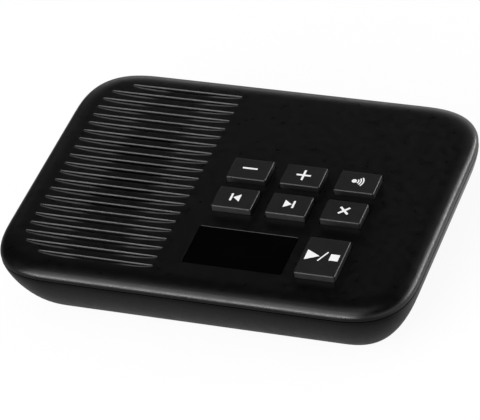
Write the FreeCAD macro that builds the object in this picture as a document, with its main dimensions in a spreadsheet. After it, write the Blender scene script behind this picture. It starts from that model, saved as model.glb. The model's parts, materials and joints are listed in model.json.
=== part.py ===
import FreeCAD, Part
import Sketcher

import math
import os
import re

from FreeCAD import Rotation, Vector

# The machine lies flat: +X to its right, +Y to its back, +Z up.
# The origin is on the table, under the middle of the case. Sizes are in millimetres, angles in degrees.

# Sizes that can be set by themselves
DRIVING = {
    # case
    "overall_width": 149.3,
    "overall_depth": 111.3,
    "overall_height": 27.0,
    "corner_tight": 18.2,
    "corner_wide": 36.9,
    "corner_blend": 13.2,
    "edge_drop": 4.5,
    "edge_run": 8.2,
    "edge_power": 2.6,
    "flank_run": 12.0,
    "flank_power": 1.37,
    "parting_gap": 0.4,
    "roof": 2.2,
    "rim": 2.2,
    "flank_wall": 2.2,
    "shell_floor": 2.0,
    "cavity_spare": 0.35,
    "lip_fit": 0.15,
    "lip_thick": 1.5,
    "lip_rise": 1.4,
    "lip_root": 3.5,
    "lip_headroom": 0.2,
    # feet
    "foot_radius": 5.0,
    "foot_stand": 1.5,
    "foot_seat": 0.5,
    "foot_fit": 0.1,
    "foot_edge": 0.4,
    "foot_side_margin": 19.5,
    "foot_front_margin": 28.0,
    # grille
    "grille_side_margin": 9.57,
    "grille_end_margin": 9.54,
    "grille_length": 50.0,
    "grille_corner": 12.0,
    "grille_overrun": 0.5,
    "groove_pitch": 4.61,
    "groove_width": 3.3,
    "groove_depth": 1.3,
    "slot_width": 1.1,
    "slot_depth": 0.8,
    "slit_width": 0.8,
    "slit_end_margin": 1.0,
    # keys
    "key_block_gap": 10.06,
    "key_width": 14.43,
    "key_depth": 10.44,
    "key_pitch_across": 19.57,
    "key_pitch_along": 15.57,
    "play_key_depth": 18.3,
    "play_front_margin": 13.39,
    "play_row_gap": 9.25,
    "key_rise": 2.41,
    "key_travel": 1.0,
    "key_clearance": 0.3,
    "key_corner": 0.8,
    "key_edge": 0.35,
    "key_wall": 1.2,
    "key_roof": 1.6,
    "flange_overhang": 1.0,
    "flange_thick": 1.0,
    "flange_gap": 0.3,
    "plunger_radius": 2.0,
    "plunger_drop": 0.9,
    # keypad mat
    "dome_gap": 0.1,
    "dome_spare": 1.0,
    "dome_foot_radius": 4.4,
    "dome_crown_radius": 2.6,
    "dome_skin": 0.6,
    "mat_thick": 0.8,
    "mat_border": 2.0,
    "mat_boss_gap": 0.4,
    # message window
    "window_width": 35.4,
    "window_depth": 18.8,
    "window_thick": 1.4,
    "window_sink": 0.1,
    "window_fit": 0.15,
    "window_corner": 0.9,
    "window_edge": 0.2,
    "window_offset_left": 1.1,
    "window_offset_front": 0.43,
    "window_key_gap": 2.0,
    "aperture_width": 23.0,
    "aperture_depth": 13.0,
    "module_width": 20.0,
    "module_depth": 10.6,
    "module_rise": 0.3,
    "digit_offset": 4.4,
    "digit_half_width": 1.9,
    "digit_half_height": 3.3,
    "bar_length": 2.6,
    "bar_width": 0.6,
    "bar_thick": 0.15,
    # board
    "board_thick": 1.6,
    "board_border_side": 7.0,
    "board_border_right": 5.4,
    "board_front_margin": 9.5,
    "board_back_margin": 20.1,
    "board_boss_radius": 2.3,
    "board_screw_margin": 3.0,
    "board_screw_back_margin": 4.0,
    "middle_screw_offset": 5.5,
    "small_screw_radius": 0.9,
    "small_head_radius": 2.1,
    "small_head_height": 1.3,
    "board_screw_grip": 3.6,
    "lead_room": 3.0,
    # pieces on the board
    "chip_standoff": 0.1,
    "leg_width": 0.3,
    "leg_reach": 1.2,
    "leg_thick": 0.4,
    "leg_end_margin": 0.8,
    "processor_side": 14.0,
    "processor_height": 1.4,
    "memory_length": 8.0,
    "memory_width": 5.4,
    "memory_height": 1.6,
    "regulator_length": 6.5,
    "regulator_width": 6.1,
    "regulator_height": 2.3,
    "crystal_length": 6.4,
    "crystal_width": 4.6,
    "crystal_height": 3.2,
    "shield_length": 26.0,
    "shield_width": 20.0,
    "shield_height": 3.0,
    "shield_skin": 0.3,
    "shield_hole_radius": 0.8,
    "shield_hole_pitch": 4.0,
    "shield_hole_offset": 6.0,
    "antenna_height": 3.6,
    "antenna_length": 15.0,
    "antenna_width": 1.6,
    "antenna_thick": 0.5,
    "antenna_side_margin": 8.0,
    "antenna_back_margin": 1.4,
    "capacitor_radius": 4.0,
    "capacitor_height": 11.0,
    "capacitor_edge": 0.5,
    "core_length": 14.0,
    "core_width": 12.0,
    "core_height": 9.0,
    "core_leg": 2.0,
    "core_yoke": 1.7,
    "core_gap": 0.6,
    "winding_width": 15.0,
    "winding_fit": 0.2,
    "pin_width": 0.8,
    "pin_pitch": 3.4,
    "pin_inset": 0.7,
    # housing screws
    "screw_side_margin": 16.35,
    "screw_end_margin": 18.65,
    "pillar_radius": 3.6,
    "pillar_height": 7.5,
    "boss_radius": 3.2,
    "boss_gap": 0.2,
    "boss_clearance": 0.5,
    "screw_radius": 1.3,
    "screw_clearance": 0.3,
    "screw_head_radius": 2.75,
    "screw_head_height": 1.9,
    "head_clearance": 0.35,
    "screw_sink": 4.0,
    "screw_length": 13.0,
    "recess_width": 0.6,
    "recess_share": 0.6,
    "pilot_fit": 0.05,
    "pilot_spare": 0.15,
    # sockets and their bay
    "bay_width": 34.0,
    "bay_wall": 1.8,
    "bay_gap": 0.4,
    "bay_fit": 0.1,
    "socket_spacing": 17.0,
    "socket_height": 11.4,
    "socket_depth": 14.0,
    "socket_floor": 2.6,
    "line_socket_width": 13.2,
    "power_socket_width": 11.0,
    "socket_mouth_height": 7.0,
    "line_mouth_width": 9.8,
    "power_mouth_width": 7.8,
    "mouth_length": 12.0,
    "latch_width": 6.2,
    "latch_height": 1.4,
    "socket_fit": 0.2,
    "contact_radius": 0.23,
    "contact_pitch": 1.3,
    "contact_setback": 1.4,
    "contact_inner_gap": 2.0,
    "contact_top_gap": 0.3,
    # wall hangers
    "hanger_spacing": 80.0,
    "hanger_back_margin": 35.65,
    "hanger_head_radius": 4.0,
    "hanger_slot_width": 4.2,
    "hanger_slot_reach": 8.0,
    # vents
    "vent_length": 22.0,
    "vent_width": 1.6,
    "vent_pitch": 3.6,
    "vent_start": 12.0,
    # loudspeaker
    "speaker_radius": 25.0,
    "speaker_depth": 18.8,
    "speaker_flange": 1.0,
    "speaker_wall": 0.8,
    "flange_step": 1.0,
    "flange_land": 2.1,
    "rim_depth": 2.4,
    "shelf_drop": 0.8,
    "shelf_thick": 0.6,
    "shelf_width": 0.9,
    "cup_overhang": 1.0,
    "cup_height": 2.6,
    "ledge_height": 1.8,
    "ledge_width": 2.0,
    "ledge_inset": 0.4,
    "basket_window": 14.0,
    "basket_window_offset": 15.5,
    "basket_window_margin": 0.4,
    "gasket_thick": 0.8,
    "gasket_inset": 0.1,
    "gasket_width": 2.5,
    "magnet_radius": 14.0,
    "magnet_height": 4.8,
    "magnet_bore_gap": 2.4,
    "yoke_radius": 12.5,
    "plate_thick": 1.5,
    "pole_radius": 6.0,
    "coil_clearance": 0.25,
    "coil_thick": 0.5,
    "winding_overhang": 0.7,
    "former_drop": 1.0,
    "former_rise": 0.4,
    "seat_gap": 0.05,
    "spider_thick": 0.4,
    "spider_fit": 0.35,
    "cone_skin": 0.6,
    "cone_travel": 0.5,
    "cap_radius": 8.0,
    "cap_rise": 2.2,
    "cap_skin": 0.4,
    "surround_roll": 1.85,
    "surround_skin": 0.35,
    "surround_foot": 0.6,
    "surround_fit": 0.1,
    "speaker_screw_gap": 1.9,
    "speaker_boss_radius": 1.75,
    "speaker_head_radius": 2.8,
    "speaker_head_height": 1.2,
    "speaker_shank": 1.7,
    "terminal_thick": 1.1,
    "terminal_width": 9.0,
    "terminal_height": 5.6,
    "terminal_lift": 4.0,
    "terminal_gap": 0.1,
    "lug_length": 1.5,
    "lug_width": 1.4,
    "lug_thick": 0.5,
    "lug_drop": 2.4,
    "connector_length": 4.2,
    "connector_width": 8.0,
    "connector_height": 3.2,
    "connector_inset": 0.4,
    "lead_radius": 0.5,
    "lead_offset": 2.2,
    "lead_exit_height": 2.1,
    "lead_landing": 0.2,
    "lead_bend_share": 0.8,
}

# Sizes that follow from the driving ones
DERIVED = {
    "front_y": "-overall_depth / 2",
    "back_y": "overall_depth / 2",
    "ceiling_z": "overall_height - roof",
    "parting_z": "overall_height - edge_drop",
    "lower_top_z": "parting_z - parting_gap",
    "cavity_inset": "rim + lip_fit + lip_thick + cavity_spare",
    "grille_left": "-overall_width / 2 + grille_side_margin",
    "grille_right": "grille_left + grille_length",
    "speaker_x": "grille_left + grille_length / 2",
    "keys_left": "max(grille_right; speaker_x + speaker_radius) + key_block_gap",
    "column_x": "keys_left + key_width / 2",
    "play_y": "front_y + play_front_margin + play_key_depth / 2",
    "near_row_y": "play_y + play_key_depth / 2 + play_row_gap + key_depth / 2",
    "far_row_y": "near_row_y + key_pitch_along",
    "last_column_x": "column_x + 2 * key_pitch_across",
    "key_height": "overall_height + key_rise - flange_z",
    "flange_top_z": "ceiling_z - flange_gap",
    "flange_z": "flange_top_z - flange_thick",
    "dome_top_z": "flange_z - plunger_drop - dome_gap",
    "dome_height": "key_travel + dome_spare",
    "mat_top_z": "dome_top_z - dome_height",
    "board_top_z": "mat_top_z - mat_thick",
    "board_z": "board_top_z - board_thick",
    "window_left_x": "keys_left - window_offset_left + window_width / 2",
    "window_right_x": "last_column_x - key_width / 2 - window_key_gap - window_width / 2",
    "window_x": "min(window_left_x; window_right_x)",
    "window_y": "front_y + play_front_margin + window_offset_front + window_depth / 2",
    "window_z": "overall_height - window_sink - window_thick",
    "board_left": "max(keys_left - board_border_side; speaker_x + speaker_radius + lead_room)",
    "board_right": "last_column_x + key_width / 2 + board_border_right",
    "board_front": "front_y + board_front_margin",
    "board_back": "back_y - board_back_margin",
    "board_mid_x": "(board_left + board_right) / 2",
    "board_mid_y": "(board_front + board_back) / 2",
    "core_z": "board_z - core_gap - core_height",
    "winding_z": "core_z + core_yoke + winding_fit",
    "bay_y": "board_back + bay_gap + bay_wall",
    "bay_depth": "back_y - bay_y + bay_wall",
    "socket_y": "bay_y - socket_depth / 2",
    "socket_z": "board_z - socket_height",
    "mouth_z": "socket_z + socket_floor",
    "line_x": "board_mid_x - socket_spacing / 2",
    "power_x": "board_mid_x + socket_spacing / 2",
    "screw_x": "overall_width / 2 - screw_side_margin",
    "screw_y": "overall_depth / 2 - screw_end_margin",
    "boss_z": "foot_stand + pillar_height + boss_gap",
    "hanger_y": "back_y - hanger_back_margin",
    "speaker_top_z": "ceiling_z - gasket_thick",
    "speaker_flange_z": "speaker_top_z - speaker_flange",
    "speaker_boss_z": "speaker_flange_z + seat_gap",
    "speaker_screw_reach": "speaker_radius + speaker_screw_gap",
    "yoke_z": "speaker_top_z - speaker_depth",
    "magnet_z": "yoke_z + plate_thick",
    "plate_z": "magnet_z + magnet_height",
    "basket_z": "plate_z + plate_thick",
    "flare_z": "basket_z + cup_height",
    "rim_z": "speaker_top_z - rim_depth",
    "shelf_z": "rim_z - shelf_drop",
    "wall_radius": "speaker_radius - flange_step",
    "cup_radius": "magnet_radius + cup_overhang",
    "coil_radius": "pole_radius + coil_clearance",
    "neck_radius": "coil_radius + coil_thick / 2",
    "gap_radius": "coil_radius + coil_thick + coil_clearance",
    "spider_z": "basket_z + ledge_height + seat_gap",
    "cone_z": "spider_z + spider_thick + seat_gap + cone_travel",
    "surround_radius": "wall_radius - speaker_wall - surround_foot - surround_roll",
    "surround_z": "rim_z + surround_fit",
    "cone_radius": "surround_radius - surround_roll",
    "cone_slope": "(rim_z - cone_z) / (cone_radius - cone_skin - neck_radius)",
    "cap_edge_z": "cone_z + (cap_radius - neck_radius) * cone_slope + seat_gap",
    "cap_ball_radius": "(cap_radius * cap_radius + cap_rise * cap_rise) / (2 * cap_rise)",
    "terminal_x": "speaker_x + wall_radius + terminal_gap + terminal_thick / 2",
    "lug_z": "rim_z - lug_drop",
}

# Words in an expression that are not sizes
FUNCTIONS = ("cos", "sin")

# Solids fused into one run into each other by OVERLAP; a cutting tool goes PAST the faces that it cuts
OVERLAP = 0.1
PAST = 1.0

VENT_COUNT = 9
SHIELD_HOLES = 5
PROCESSOR_LEGS = 12
MEMORY_LEGS = 4
LINE_CONTACTS = 4
POWER_CONTACTS = 2
SPEAKER_SCREW_ANGLES = (90, 210, 330)
SKIN_STEPS = 10
CONTACT_TILT = 102

doc = FreeCAD.newDocument("answering_machine")
sheet = doc.addObject("Spreadsheet::Sheet", "sizes")
subparts = []


# The sheet and the links to it

def fill_sheet():
    """One row per size: its name, its value or formula, and the name again as the cell's alias."""
    derived = {name: "=" + formula for name, formula in DERIVED.items()}
    rows = {name: str(value) for name, value in DRIVING.items()} | derived
    for row, name in enumerate(rows, 1):
        sheet.set(f"A{row}", name)
        sheet.setAlias(f"B{row}", name)
    for row, content in enumerate(rows.values(), 1):
        sheet.set(f"B{row}", content)
    doc.recompute()


def size(name):
    return float(sheet.get(name))


def link(value):
    """The value as an expression in which every size name points at the sheet."""
    def point(word):
        return word[0] if word[0] in FUNCTIONS else "sizes." + word[0]
    return re.sub(r"[a-z]\w*", point, str(value))


def bind(item, **values):
    for prop, value in values.items():
        item.setExpression(prop, link(value))
    return item


def place(item, x=0, y=0, z=0):
    for axis, value in zip("xyz", (x, y, z)):
        item.setExpression(f"Placement.Base.{axis}", link(value))
    return item


def subpart(item, node):
    """Marks a finished piece: its label names its node and its file."""
    item.Label = node
    subparts.append(item)
    return item


# Primitives and booleans, all tied to the sheet

def block(name, wide, deep, high, x=0, y=0, z=0):
    """A box whose base is centred on x, y."""
    item = doc.addObject("Part::Box", name)
    bind(item, Length=wide, Width=deep, Height=high)
    return place(item, f"{x} - ({wide}) / 2", f"{y} - ({deep}) / 2", z)


def rod(name, radius, high, x=0, y=0, z=0):
    item = doc.addObject("Part::Cylinder", name)
    bind(item, Radius=radius, Height=high)
    return place(item, x, y, z)


def taper(name, low_radius, high_radius, high, x=0, y=0, z=0):
    item = doc.addObject("Part::Cone", name)
    bind(item, Radius1=low_radius, Radius2=high_radius, Height=high)
    return place(item, x, y, z)


def ball(name, radius, x, y, z):
    item = doc.addObject("Part::Sphere", name)
    bind(item, Radius=radius)
    return place(item, x, y, z)


def torus(name, radius, minor, x, y, z):
    item = doc.addObject("Part::Torus", name)
    bind(item, Radius1=radius, Radius2=minor)
    return place(item, x, y, z)


def fuse(name, *items):
    result = doc.addObject("Part::MultiFuse", name)
    result.Shapes = list(items)
    result.Refine = True
    return result


def group(name, *items):
    """Separate solids kept together as one node."""
    result = doc.addObject("Part::Compound", name)
    result.Links = list(items)
    return result


def cut(name, base, *tools):
    result = doc.addObject("Part::Cut", name)
    result.Base = base
    result.Tool = tools[0] if len(tools) == 1 else group(name + "_tools", *tools)
    return result


def common(name, first, second):
    result = doc.addObject("Part::MultiCommon", name)
    result.Shapes = [first, second]
    return result


def ring(name, outer, inner, high, x=0, y=0, z=0):
    hole = rod(name + "_hole", inner, f"{high} + {2 * PAST}", x, y, f"{z} - {PAST}")
    return cut(name, rod(name + "_disc", outer, high, x, y, z), hole)


def shaped(name, shape):
    """A solid worked out by a formula that no primitive has."""
    item = doc.addObject("Part::Feature", name)
    item.Shape = shape
    return item


# Sketch helpers for the moulded pieces

def new_body(name):
    return doc.addObject("PartDesign::Body", name)


def new_sketch(body, name):
    sketch = body.newObject("Sketcher::SketchObject", name)
    plane = next(p for p in body.Origin.OriginFeatures if p.Role == "XY_Plane")
    sketch.AttachmentSupport = [(plane, "")]
    sketch.MapMode = "FlatFace"
    return sketch


def rectangle(body, name, wide, deep):
    """A rectangle centred on the body's origin."""
    sketch = new_sketch(body, name)
    corners = [Vector(-2, -1, 0), Vector(2, -1, 0), Vector(2, 1, 0), Vector(-2, 1, 0)]
    for start, end in zip(corners, corners[1:] + corners[:1]):
        sketch.addGeometry(Part.LineSegment(start, end))
    for line in range(4):
        sketch.addConstraint(Sketcher.Constraint("Coincident", line, 2, (line + 1) % 4, 1))
        straight = "Vertical" if line % 2 else "Horizontal"
        sketch.addConstraint(Sketcher.Constraint(straight, line))
    sketch.addConstraint(Sketcher.Constraint("Symmetric", 0, 1, 1, 2, -1, 1))
    across = sketch.addConstraint(Sketcher.Constraint("DistanceX", 0, 1, 0, 2, 4.0))
    along = sketch.addConstraint(Sketcher.Constraint("DistanceY", 1, 1, 1, 2, 2.0))
    sketch.setExpression(f"Constraints[{across}]", link(wide))
    sketch.setExpression(f"Constraints[{along}]", link(deep))
    return sketch


def circle(body, name, radius):
    sketch = new_sketch(body, name)
    sketch.addGeometry(Part.Circle(Vector(0, 0, 0), Vector(0, 0, 1), 1.0))
    sketch.addConstraint(Sketcher.Constraint("Coincident", 0, 3, -1, 1))
    index = sketch.addConstraint(Sketcher.Constraint("Radius", 0, 1.0))
    sketch.setExpression(f"Constraints[{index}]", link(radius))
    return sketch


def extrude(body, kind, name, sketch, length, downwards=False):
    """A Pad or a Pocket, upwards unless told otherwise; a Pocket's own forward way is down."""
    feature = body.newObject("PartDesign::" + kind, name)
    feature.Profile = sketch
    feature.Reversed = downwards == (kind == "Pad")
    bind(feature, Length=length)
    doc.recompute()
    return feature


def fillet(body, name, radius, chosen):
    """Rounds the edges of the body's last feature for which chosen(edge) is true."""
    base = body.Tip
    names = [f"Edge{i}" for i, edge in enumerate(base.Shape.Edges, 1) if chosen(edge)]
    feature = body.newObject("PartDesign::Fillet", name)
    feature.Base = (base, names)
    bind(feature, Radius=radius)
    doc.recompute()
    return feature


def is_upright(edge):
    return abs(edge.tangentAt(edge.FirstParameter).z) > 0.99


def lies_at(edge, height):
    return abs(edge.BoundBox.ZMin - height) < 1e-5 and abs(edge.BoundBox.ZMax - height) < 1e-5


def round_top(body, name, radius):
    top = body.Tip.Shape.BoundBox.ZMax
    return fillet(body, name, radius, lambda edge: lies_at(edge, top))


def round_foot(body, name, radius):
    low = body.Tip.Shape.BoundBox.ZMin
    return fillet(body, name, radius, lambda edge: lies_at(edge, low))


# The case outline and skins

def corner_arcs(inset):
    """The back right corner's three tangent arcs as (start, middle, end) points, from side to back."""
    wide = size("corner_wide") - inset
    tight = size("corner_tight") - inset
    blend = math.radians(size("corner_blend"))
    side = size("overall_width") / 2 - inset
    back = size("overall_depth") / 2 - inset
    lean, upright = math.sin(blend), math.cos(blend)
    reach = wide * (1 + lean - upright) + tight * (upright - lean)
    first = Vector(side - wide, back - reach, 0)
    second = first + Vector(upright, lean, 0) * (wide - tight)
    third = second - Vector(lean, upright, 0) * (wide - tight)
    turns = (0, blend, math.pi / 2 - blend, math.pi / 2)
    arcs = []
    for centre, radius, start, end in zip(
        (first, second, third), (wide, tight, wide), turns, turns[1:]
    ):
        angles = (start, (start + end) / 2, end)
        arcs.append([centre + Vector(math.cos(a), math.sin(a), 0) * radius for a in angles])
    return arcs


def outline(inset, height):
    """The plan outline of the case, moved in by inset, as a closed wire at that height."""
    arcs = []
    for across, along in ((1, 1), (-1, 1), (-1, -1), (1, -1)):
        corner = [
            [Vector(p.x * across, p.y * along, height) for p in arc] for arc in corner_arcs(inset)
        ]
        if across * along < 0:
            corner = [arc[::-1] for arc in reversed(corner)]
        arcs.extend(corner)
    edges = []
    for arc, following in zip(arcs, arcs[1:] + arcs[:1]):
        edges.append(Part.Arc(*arc).toShape())
        if (arc[2] - following[0]).Length > 1e-6:
            edges.append(Part.LineSegment(arc[2], following[0]).toShape())
    return Part.Wire(edges)


def prism(inset, low, high):
    return Part.Face(outline(inset, low)).extrude(Vector(0, 0, high - low))


def skin(start_inset, run, start_z, drop, power, from_flat):
    """A solid whose side follows a quarter of a superellipse, lofted through outlines.
    From_flat starts on the flat face and ends upright; otherwise it starts upright and ends flat."""
    share = 2 / power
    sections = []
    for step in range(SKIN_STEPS + 1):
        turn = math.pi / 2 * step / SKIN_STEPS
        over, down = math.sin(turn) ** share, 1 - math.cos(turn) ** share
        if from_flat:
            inset, fall = run * (1 - over), drop * down
        else:
            inset, fall = run * down, drop * over
        sections.append(outline(start_inset + inset, start_z - fall))
    return Part.makeLoft(sections, True, False)


def upper_skin():
    top, drop = size("overall_height"), size("edge_drop")
    return skin(0, size("edge_run"), top, drop, size("edge_power"), True)


def lower_skin(wall, thickness):
    """The tapered lower shape; wall and thickness move it in and raise its floor."""
    top = size("lower_top_z")
    drop = top - size("foot_stand") - thickness
    return skin(wall, size("flank_run"), top, drop, size("flank_power"), False)


# The grille

def groove_lines():
    """Each groove as (left tip x, y), from back to front, inside the grille's rounded left corners."""
    pitch, corner = size("groove_pitch"), size("grille_corner")
    span = size("overall_depth") - 2 * size("grille_end_margin")
    count = int(span / pitch + 1e-6) + 1
    last_y = (count - 1) / 2 * pitch
    bend_y = last_y + size("grille_overrun") - corner
    lines = []
    for number in range(count):
        y = last_y - number * pitch
        past = max(abs(y) - bend_y, 0)
        indent = corner - math.sqrt(max(corner ** 2 - past ** 2, 0))
        lines.append((size("grille_left") + indent, y))
    return lines


def scoop(left, right, far_y):
    """A shallow hollow: a leaning cylinder's underside, cut off at the groove's steep far wall."""
    top, depth, width = size("overall_height"), size("groove_depth"), size("groove_width")
    middle, half = (left + right) / 2, (right - left) / 2
    lean = math.atan2(depth, width)
    radius = half ** 2 / (2 * depth * math.cos(lean))
    reach = 6 * width
    axis = Vector(0, math.cos(lean), -math.sin(lean))
    lowest = Vector(middle, far_y, top - depth)
    centre = lowest + Vector(0, math.sin(lean), math.cos(lean)) * radius - axis * reach
    roller = Part.makeCylinder(radius, 2 * reach, centre, axis)
    corner = Vector(left, far_y - 2 * width, top - depth - PAST)
    slab = Part.makeBox(right - left, 2 * width, depth + 2 * PAST, corner)
    return slab.common(roller)


def groove_slot(left, right, far_y):
    """A narrow channel along the far wall, blunt at the left and round at the right."""
    width, depth = size("slot_width"), size("slot_depth")
    low = size("overall_height") - depth
    end_x = right - width / 2
    channel = Part.makeBox(end_x - left, width, depth + PAST, Vector(left, far_y - width, low))
    end = Part.makeCylinder(width / 2, depth + PAST, Vector(end_x, far_y - width / 2, low))
    return channel.fuse(end)


def sound_slit(y, far_y):
    """The slit through the roof, as long as the loudspeaker's opening is wide at this groove."""
    reach, margin = size("surround_radius"), size("slit_end_margin")
    if abs(y) > reach - margin:
        return None
    half = math.sqrt(reach ** 2 - y ** 2) - margin
    width = size("slit_width")
    corner = Vector(size("speaker_x") - half, far_y - width, size("ceiling_z") - PAST)
    return Part.makeBox(2 * half, width, size("roof") + 2 * PAST, corner)


def groove_cutters():
    solids = []
    for left, y in groove_lines():
        far_y = y + size("slot_width") / 2
        groove = scoop(left, size("grille_right"), far_y)
        groove = groove.fuse(groove_slot(left, size("grille_right"), far_y))
        slit = sound_slit(y, far_y)
        solids.append(groove.fuse(slit) if slit else groove)
    return Part.makeCompound(solids)


# Places that several pieces share

KEYS = [
    ("key_volume_down", 0, "far_row_y"),
    ("key_volume_up", 1, "far_row_y"),
    ("key_paging", 2, "far_row_y"),
    ("key_previous", 0, "near_row_y"),
    ("key_next", 1, "near_row_y"),
    ("key_delete", 2, "near_row_y"),
    ("key_play_stop", 2, "play_y"),
]


def key_places():
    """Each key as (node, x, y, depth), in expressions."""
    for node, column, y in KEYS:
        depth = "play_key_depth" if node == "key_play_stop" else "key_depth"
        yield node, f"column_x + {column} * key_pitch_across", y, depth


MIDDLE_BOSS = ("last_column_x + middle_screw_offset", "play_y + play_key_depth / 2 + play_row_gap / 2")
BOARD_BOSSES = [
    ("board_left + board_screw_margin", "board_back - board_screw_back_margin"),
    ("board_right - board_screw_margin", "board_back - board_screw_back_margin"),
    ("board_left + board_screw_margin", "board_front + board_screw_margin"),
    MIDDLE_BOSS,
]
CASE_SCREWS = [(f"{a}screw_x", f"{b}screw_y") for a in ("", "-") for b in ("", "-")]
SPEAKER_SCREWS = [
    (f"speaker_x + speaker_screw_reach * cos({angle})", f"speaker_screw_reach * sin({angle})")
    for angle in SPEAKER_SCREW_ANGLES
]
FEET = {
    "foot_front_left": (-1, "front_y + foot_front_margin"),
    "foot_front_right": (1, "front_y + foot_front_margin"),
    "foot_back_left": (-1, "back_y - foot_front_margin"),
    "foot_back_right": (1, "back_y - foot_front_margin"),
}
SOCKETS = (("line", "line_x", "line_socket_width"), ("power", "power_x", "power_socket_width"))
ON_BOARD = {
    "processor": ("board_mid_x + 5", "board_front + 34"),
    "memory_chip": ("board_mid_x + 5", "board_front + 19"),
    "voltage_regulator": ("board_mid_x + 22", "board_front + 36"),
    "crystal": ("board_mid_x - 9", "board_front + 42"),
    "rf_shield": ("board_mid_x - 17", "board_front + 24"),
    "line_transformer": ("board_left + 9", "board_back - 14"),
    "capacitor_1": ("board_mid_x + 24", "board_back - 34.5"),
    "capacitor_2": ("board_mid_x + 24", "board_back - 24.5"),
    "capacitor_3": ("board_mid_x + 16", "board_front + 46"),
}


def foot_x(side):
    return f"{side} * (overall_width / 2 - foot_side_margin)"


# Case

def screw_bosses(name, places, low, radius, shank_radius, pilot):
    """The ceiling's screw bosses down to low, and their pilot holes from below."""
    bosses, holes = [], []
    for i, (x, y) in enumerate(places):
        high = f"ceiling_z + {OVERLAP} - {low}"
        bosses.append(rod(f"{name}_boss_{i}", radius, high, x, y, low))
        hole = f"{pilot} + pilot_spare + {PAST}"
        holes.append(rod(f"{name}_pilot_{i}", f"{shank_radius} + pilot_fit", hole, x, y, f"{low} - {PAST}"))
    return bosses, holes


def boss_notches(name, high, low):
    """Cutters that leave room round the case's screw bosses."""
    return [rod(f"{name}_notch_{i}", "boss_radius + boss_clearance", high, x, y, low)
            for i, (x, y) in enumerate(CASE_SCREWS)]


def key_openings():
    spare = "2 * key_clearance"
    return [
        block(node + "_opening", f"key_width + {spare}", f"{depth} + {spare}", f"roof + {2 * PAST}",
              x, y, f"ceiling_z - {PAST}")
        for node, x, y, depth in key_places()
    ]


def window_openings():
    """The recess that the window lies in, and the aperture over the display."""
    spare = "2 * window_fit"
    recess = block("window_recess", f"window_width + {spare}", f"window_depth + {spare}",
                   f"window_thick + {PAST}", "window_x", "window_y", "window_z")
    aperture = block("window_aperture", "aperture_width", "aperture_depth",
                     f"window_z - ceiling_z + {2 * PAST}", "window_x", "window_y", f"ceiling_z - {PAST}")
    return [recess, aperture]


def make_top_shell():
    inside_low = size("parting_z") - PAST
    rabbet_high = size("parting_z") + size("lip_rise") + size("lip_headroom")
    hollow = cut(
        "top_hollow",
        shaped("top_skin", upper_skin()),
        shaped("top_cavity", prism(size("cavity_inset"), inside_low, size("ceiling_z"))),
        shaped("top_rabbet", prism(size("rim"), inside_low, rabbet_high)),
    )
    case = screw_bosses("case", CASE_SCREWS, "boss_z", "boss_radius", "screw_radius", "screw_length")
    board = screw_bosses("board", BOARD_BOSSES, "board_top_z", "board_boss_radius",
                         "small_screw_radius", "board_screw_grip")
    speaker = screw_bosses("speaker", SPEAKER_SCREWS, "speaker_boss_z", "speaker_boss_radius",
                           "small_screw_radius", "speaker_shank")
    blank = fuse("top_with_bosses", hollow, *case[0], *board[0], *speaker[0])
    grooves = shaped("grooves", groove_cutters())
    openings = key_openings() + window_openings() + [grooves]
    subpart(cut("top_shell_solid", blank, *case[1], *board[1], *speaker[1], *openings), "top_shell")


def lip():
    """The wall that rises from the lower shell into the upper one."""
    inside = size("rim") + size("lip_fit")
    low, high = size("lower_top_z") - size("lip_root"), size("parting_z") + size("lip_rise")
    outer = shaped("lip_outer", prism(inside, low, high))
    inner = shaped("lip_inner", prism(inside + size("lip_thick"), low - PAST, high + PAST))
    return cut("lip", outer, inner)


def bay_block(name, spare, low):
    """The space of the connector bay and its walls, from low up, with spare round it."""
    high = f"board_z + bay_wall + {spare} - ({low})"
    return block(name, f"bay_width + 2 * bay_wall + 2 * {spare}", f"bay_depth + 2 * {spare}", high,
                 "board_mid_x", "bay_y - bay_wall + bay_depth / 2", low)


def make_socket_bay(outer):
    """The insert at the back: a roof and three walls round the connectors, with the sockets' windows."""
    walls = common("bay_walls", bay_block("bay_solid", 0, "foot_stand"), outer)
    voids = [block("bay_void", "bay_width", "bay_depth", f"board_z + {PAST}",
                   "board_mid_x", "bay_y + bay_depth / 2", -PAST)]
    for name, x, wide in SOCKETS:
        voids.append(block(name + "_window", f"{wide} + 2 * socket_fit", f"2 * bay_wall + {2 * PAST}",
                           "socket_height + 2 * socket_fit", x, "bay_y", "socket_z - socket_fit"))
    subpart(cut("socket_bay_solid", walls, *voids), "socket_bay")


def floor_cutter(kind, name, *sizes, x, y):
    """A hole through the lower shell's floor."""
    return kind(name, *sizes, f"shell_floor + {2 * PAST}", x, y, f"foot_stand - {PAST}")


def screw_pillars():
    pillars, holes = [], []
    for i, (x, y) in enumerate(CASE_SCREWS):
        low = f"foot_stand - {PAST}"
        pillars.append(rod(f"pillar_{i}", "pillar_radius", "pillar_height", x, y, "foot_stand"))
        holes.append(rod(f"pillar_hole_{i}", "screw_radius + screw_clearance",
                         f"pillar_height + {2 * PAST}", x, y, low))
        holes.append(rod(f"pillar_sink_{i}", "screw_head_radius + head_clearance",
                         f"screw_sink + {PAST}", x, y, low))
    return pillars, holes


def foot_seats():
    return [
        rod(node + "_seat", "foot_radius + foot_fit", f"foot_seat + {PAST}",
            foot_x(side), y, f"foot_stand - {PAST}")
        for node, (side, y) in FEET.items()
    ]


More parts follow.
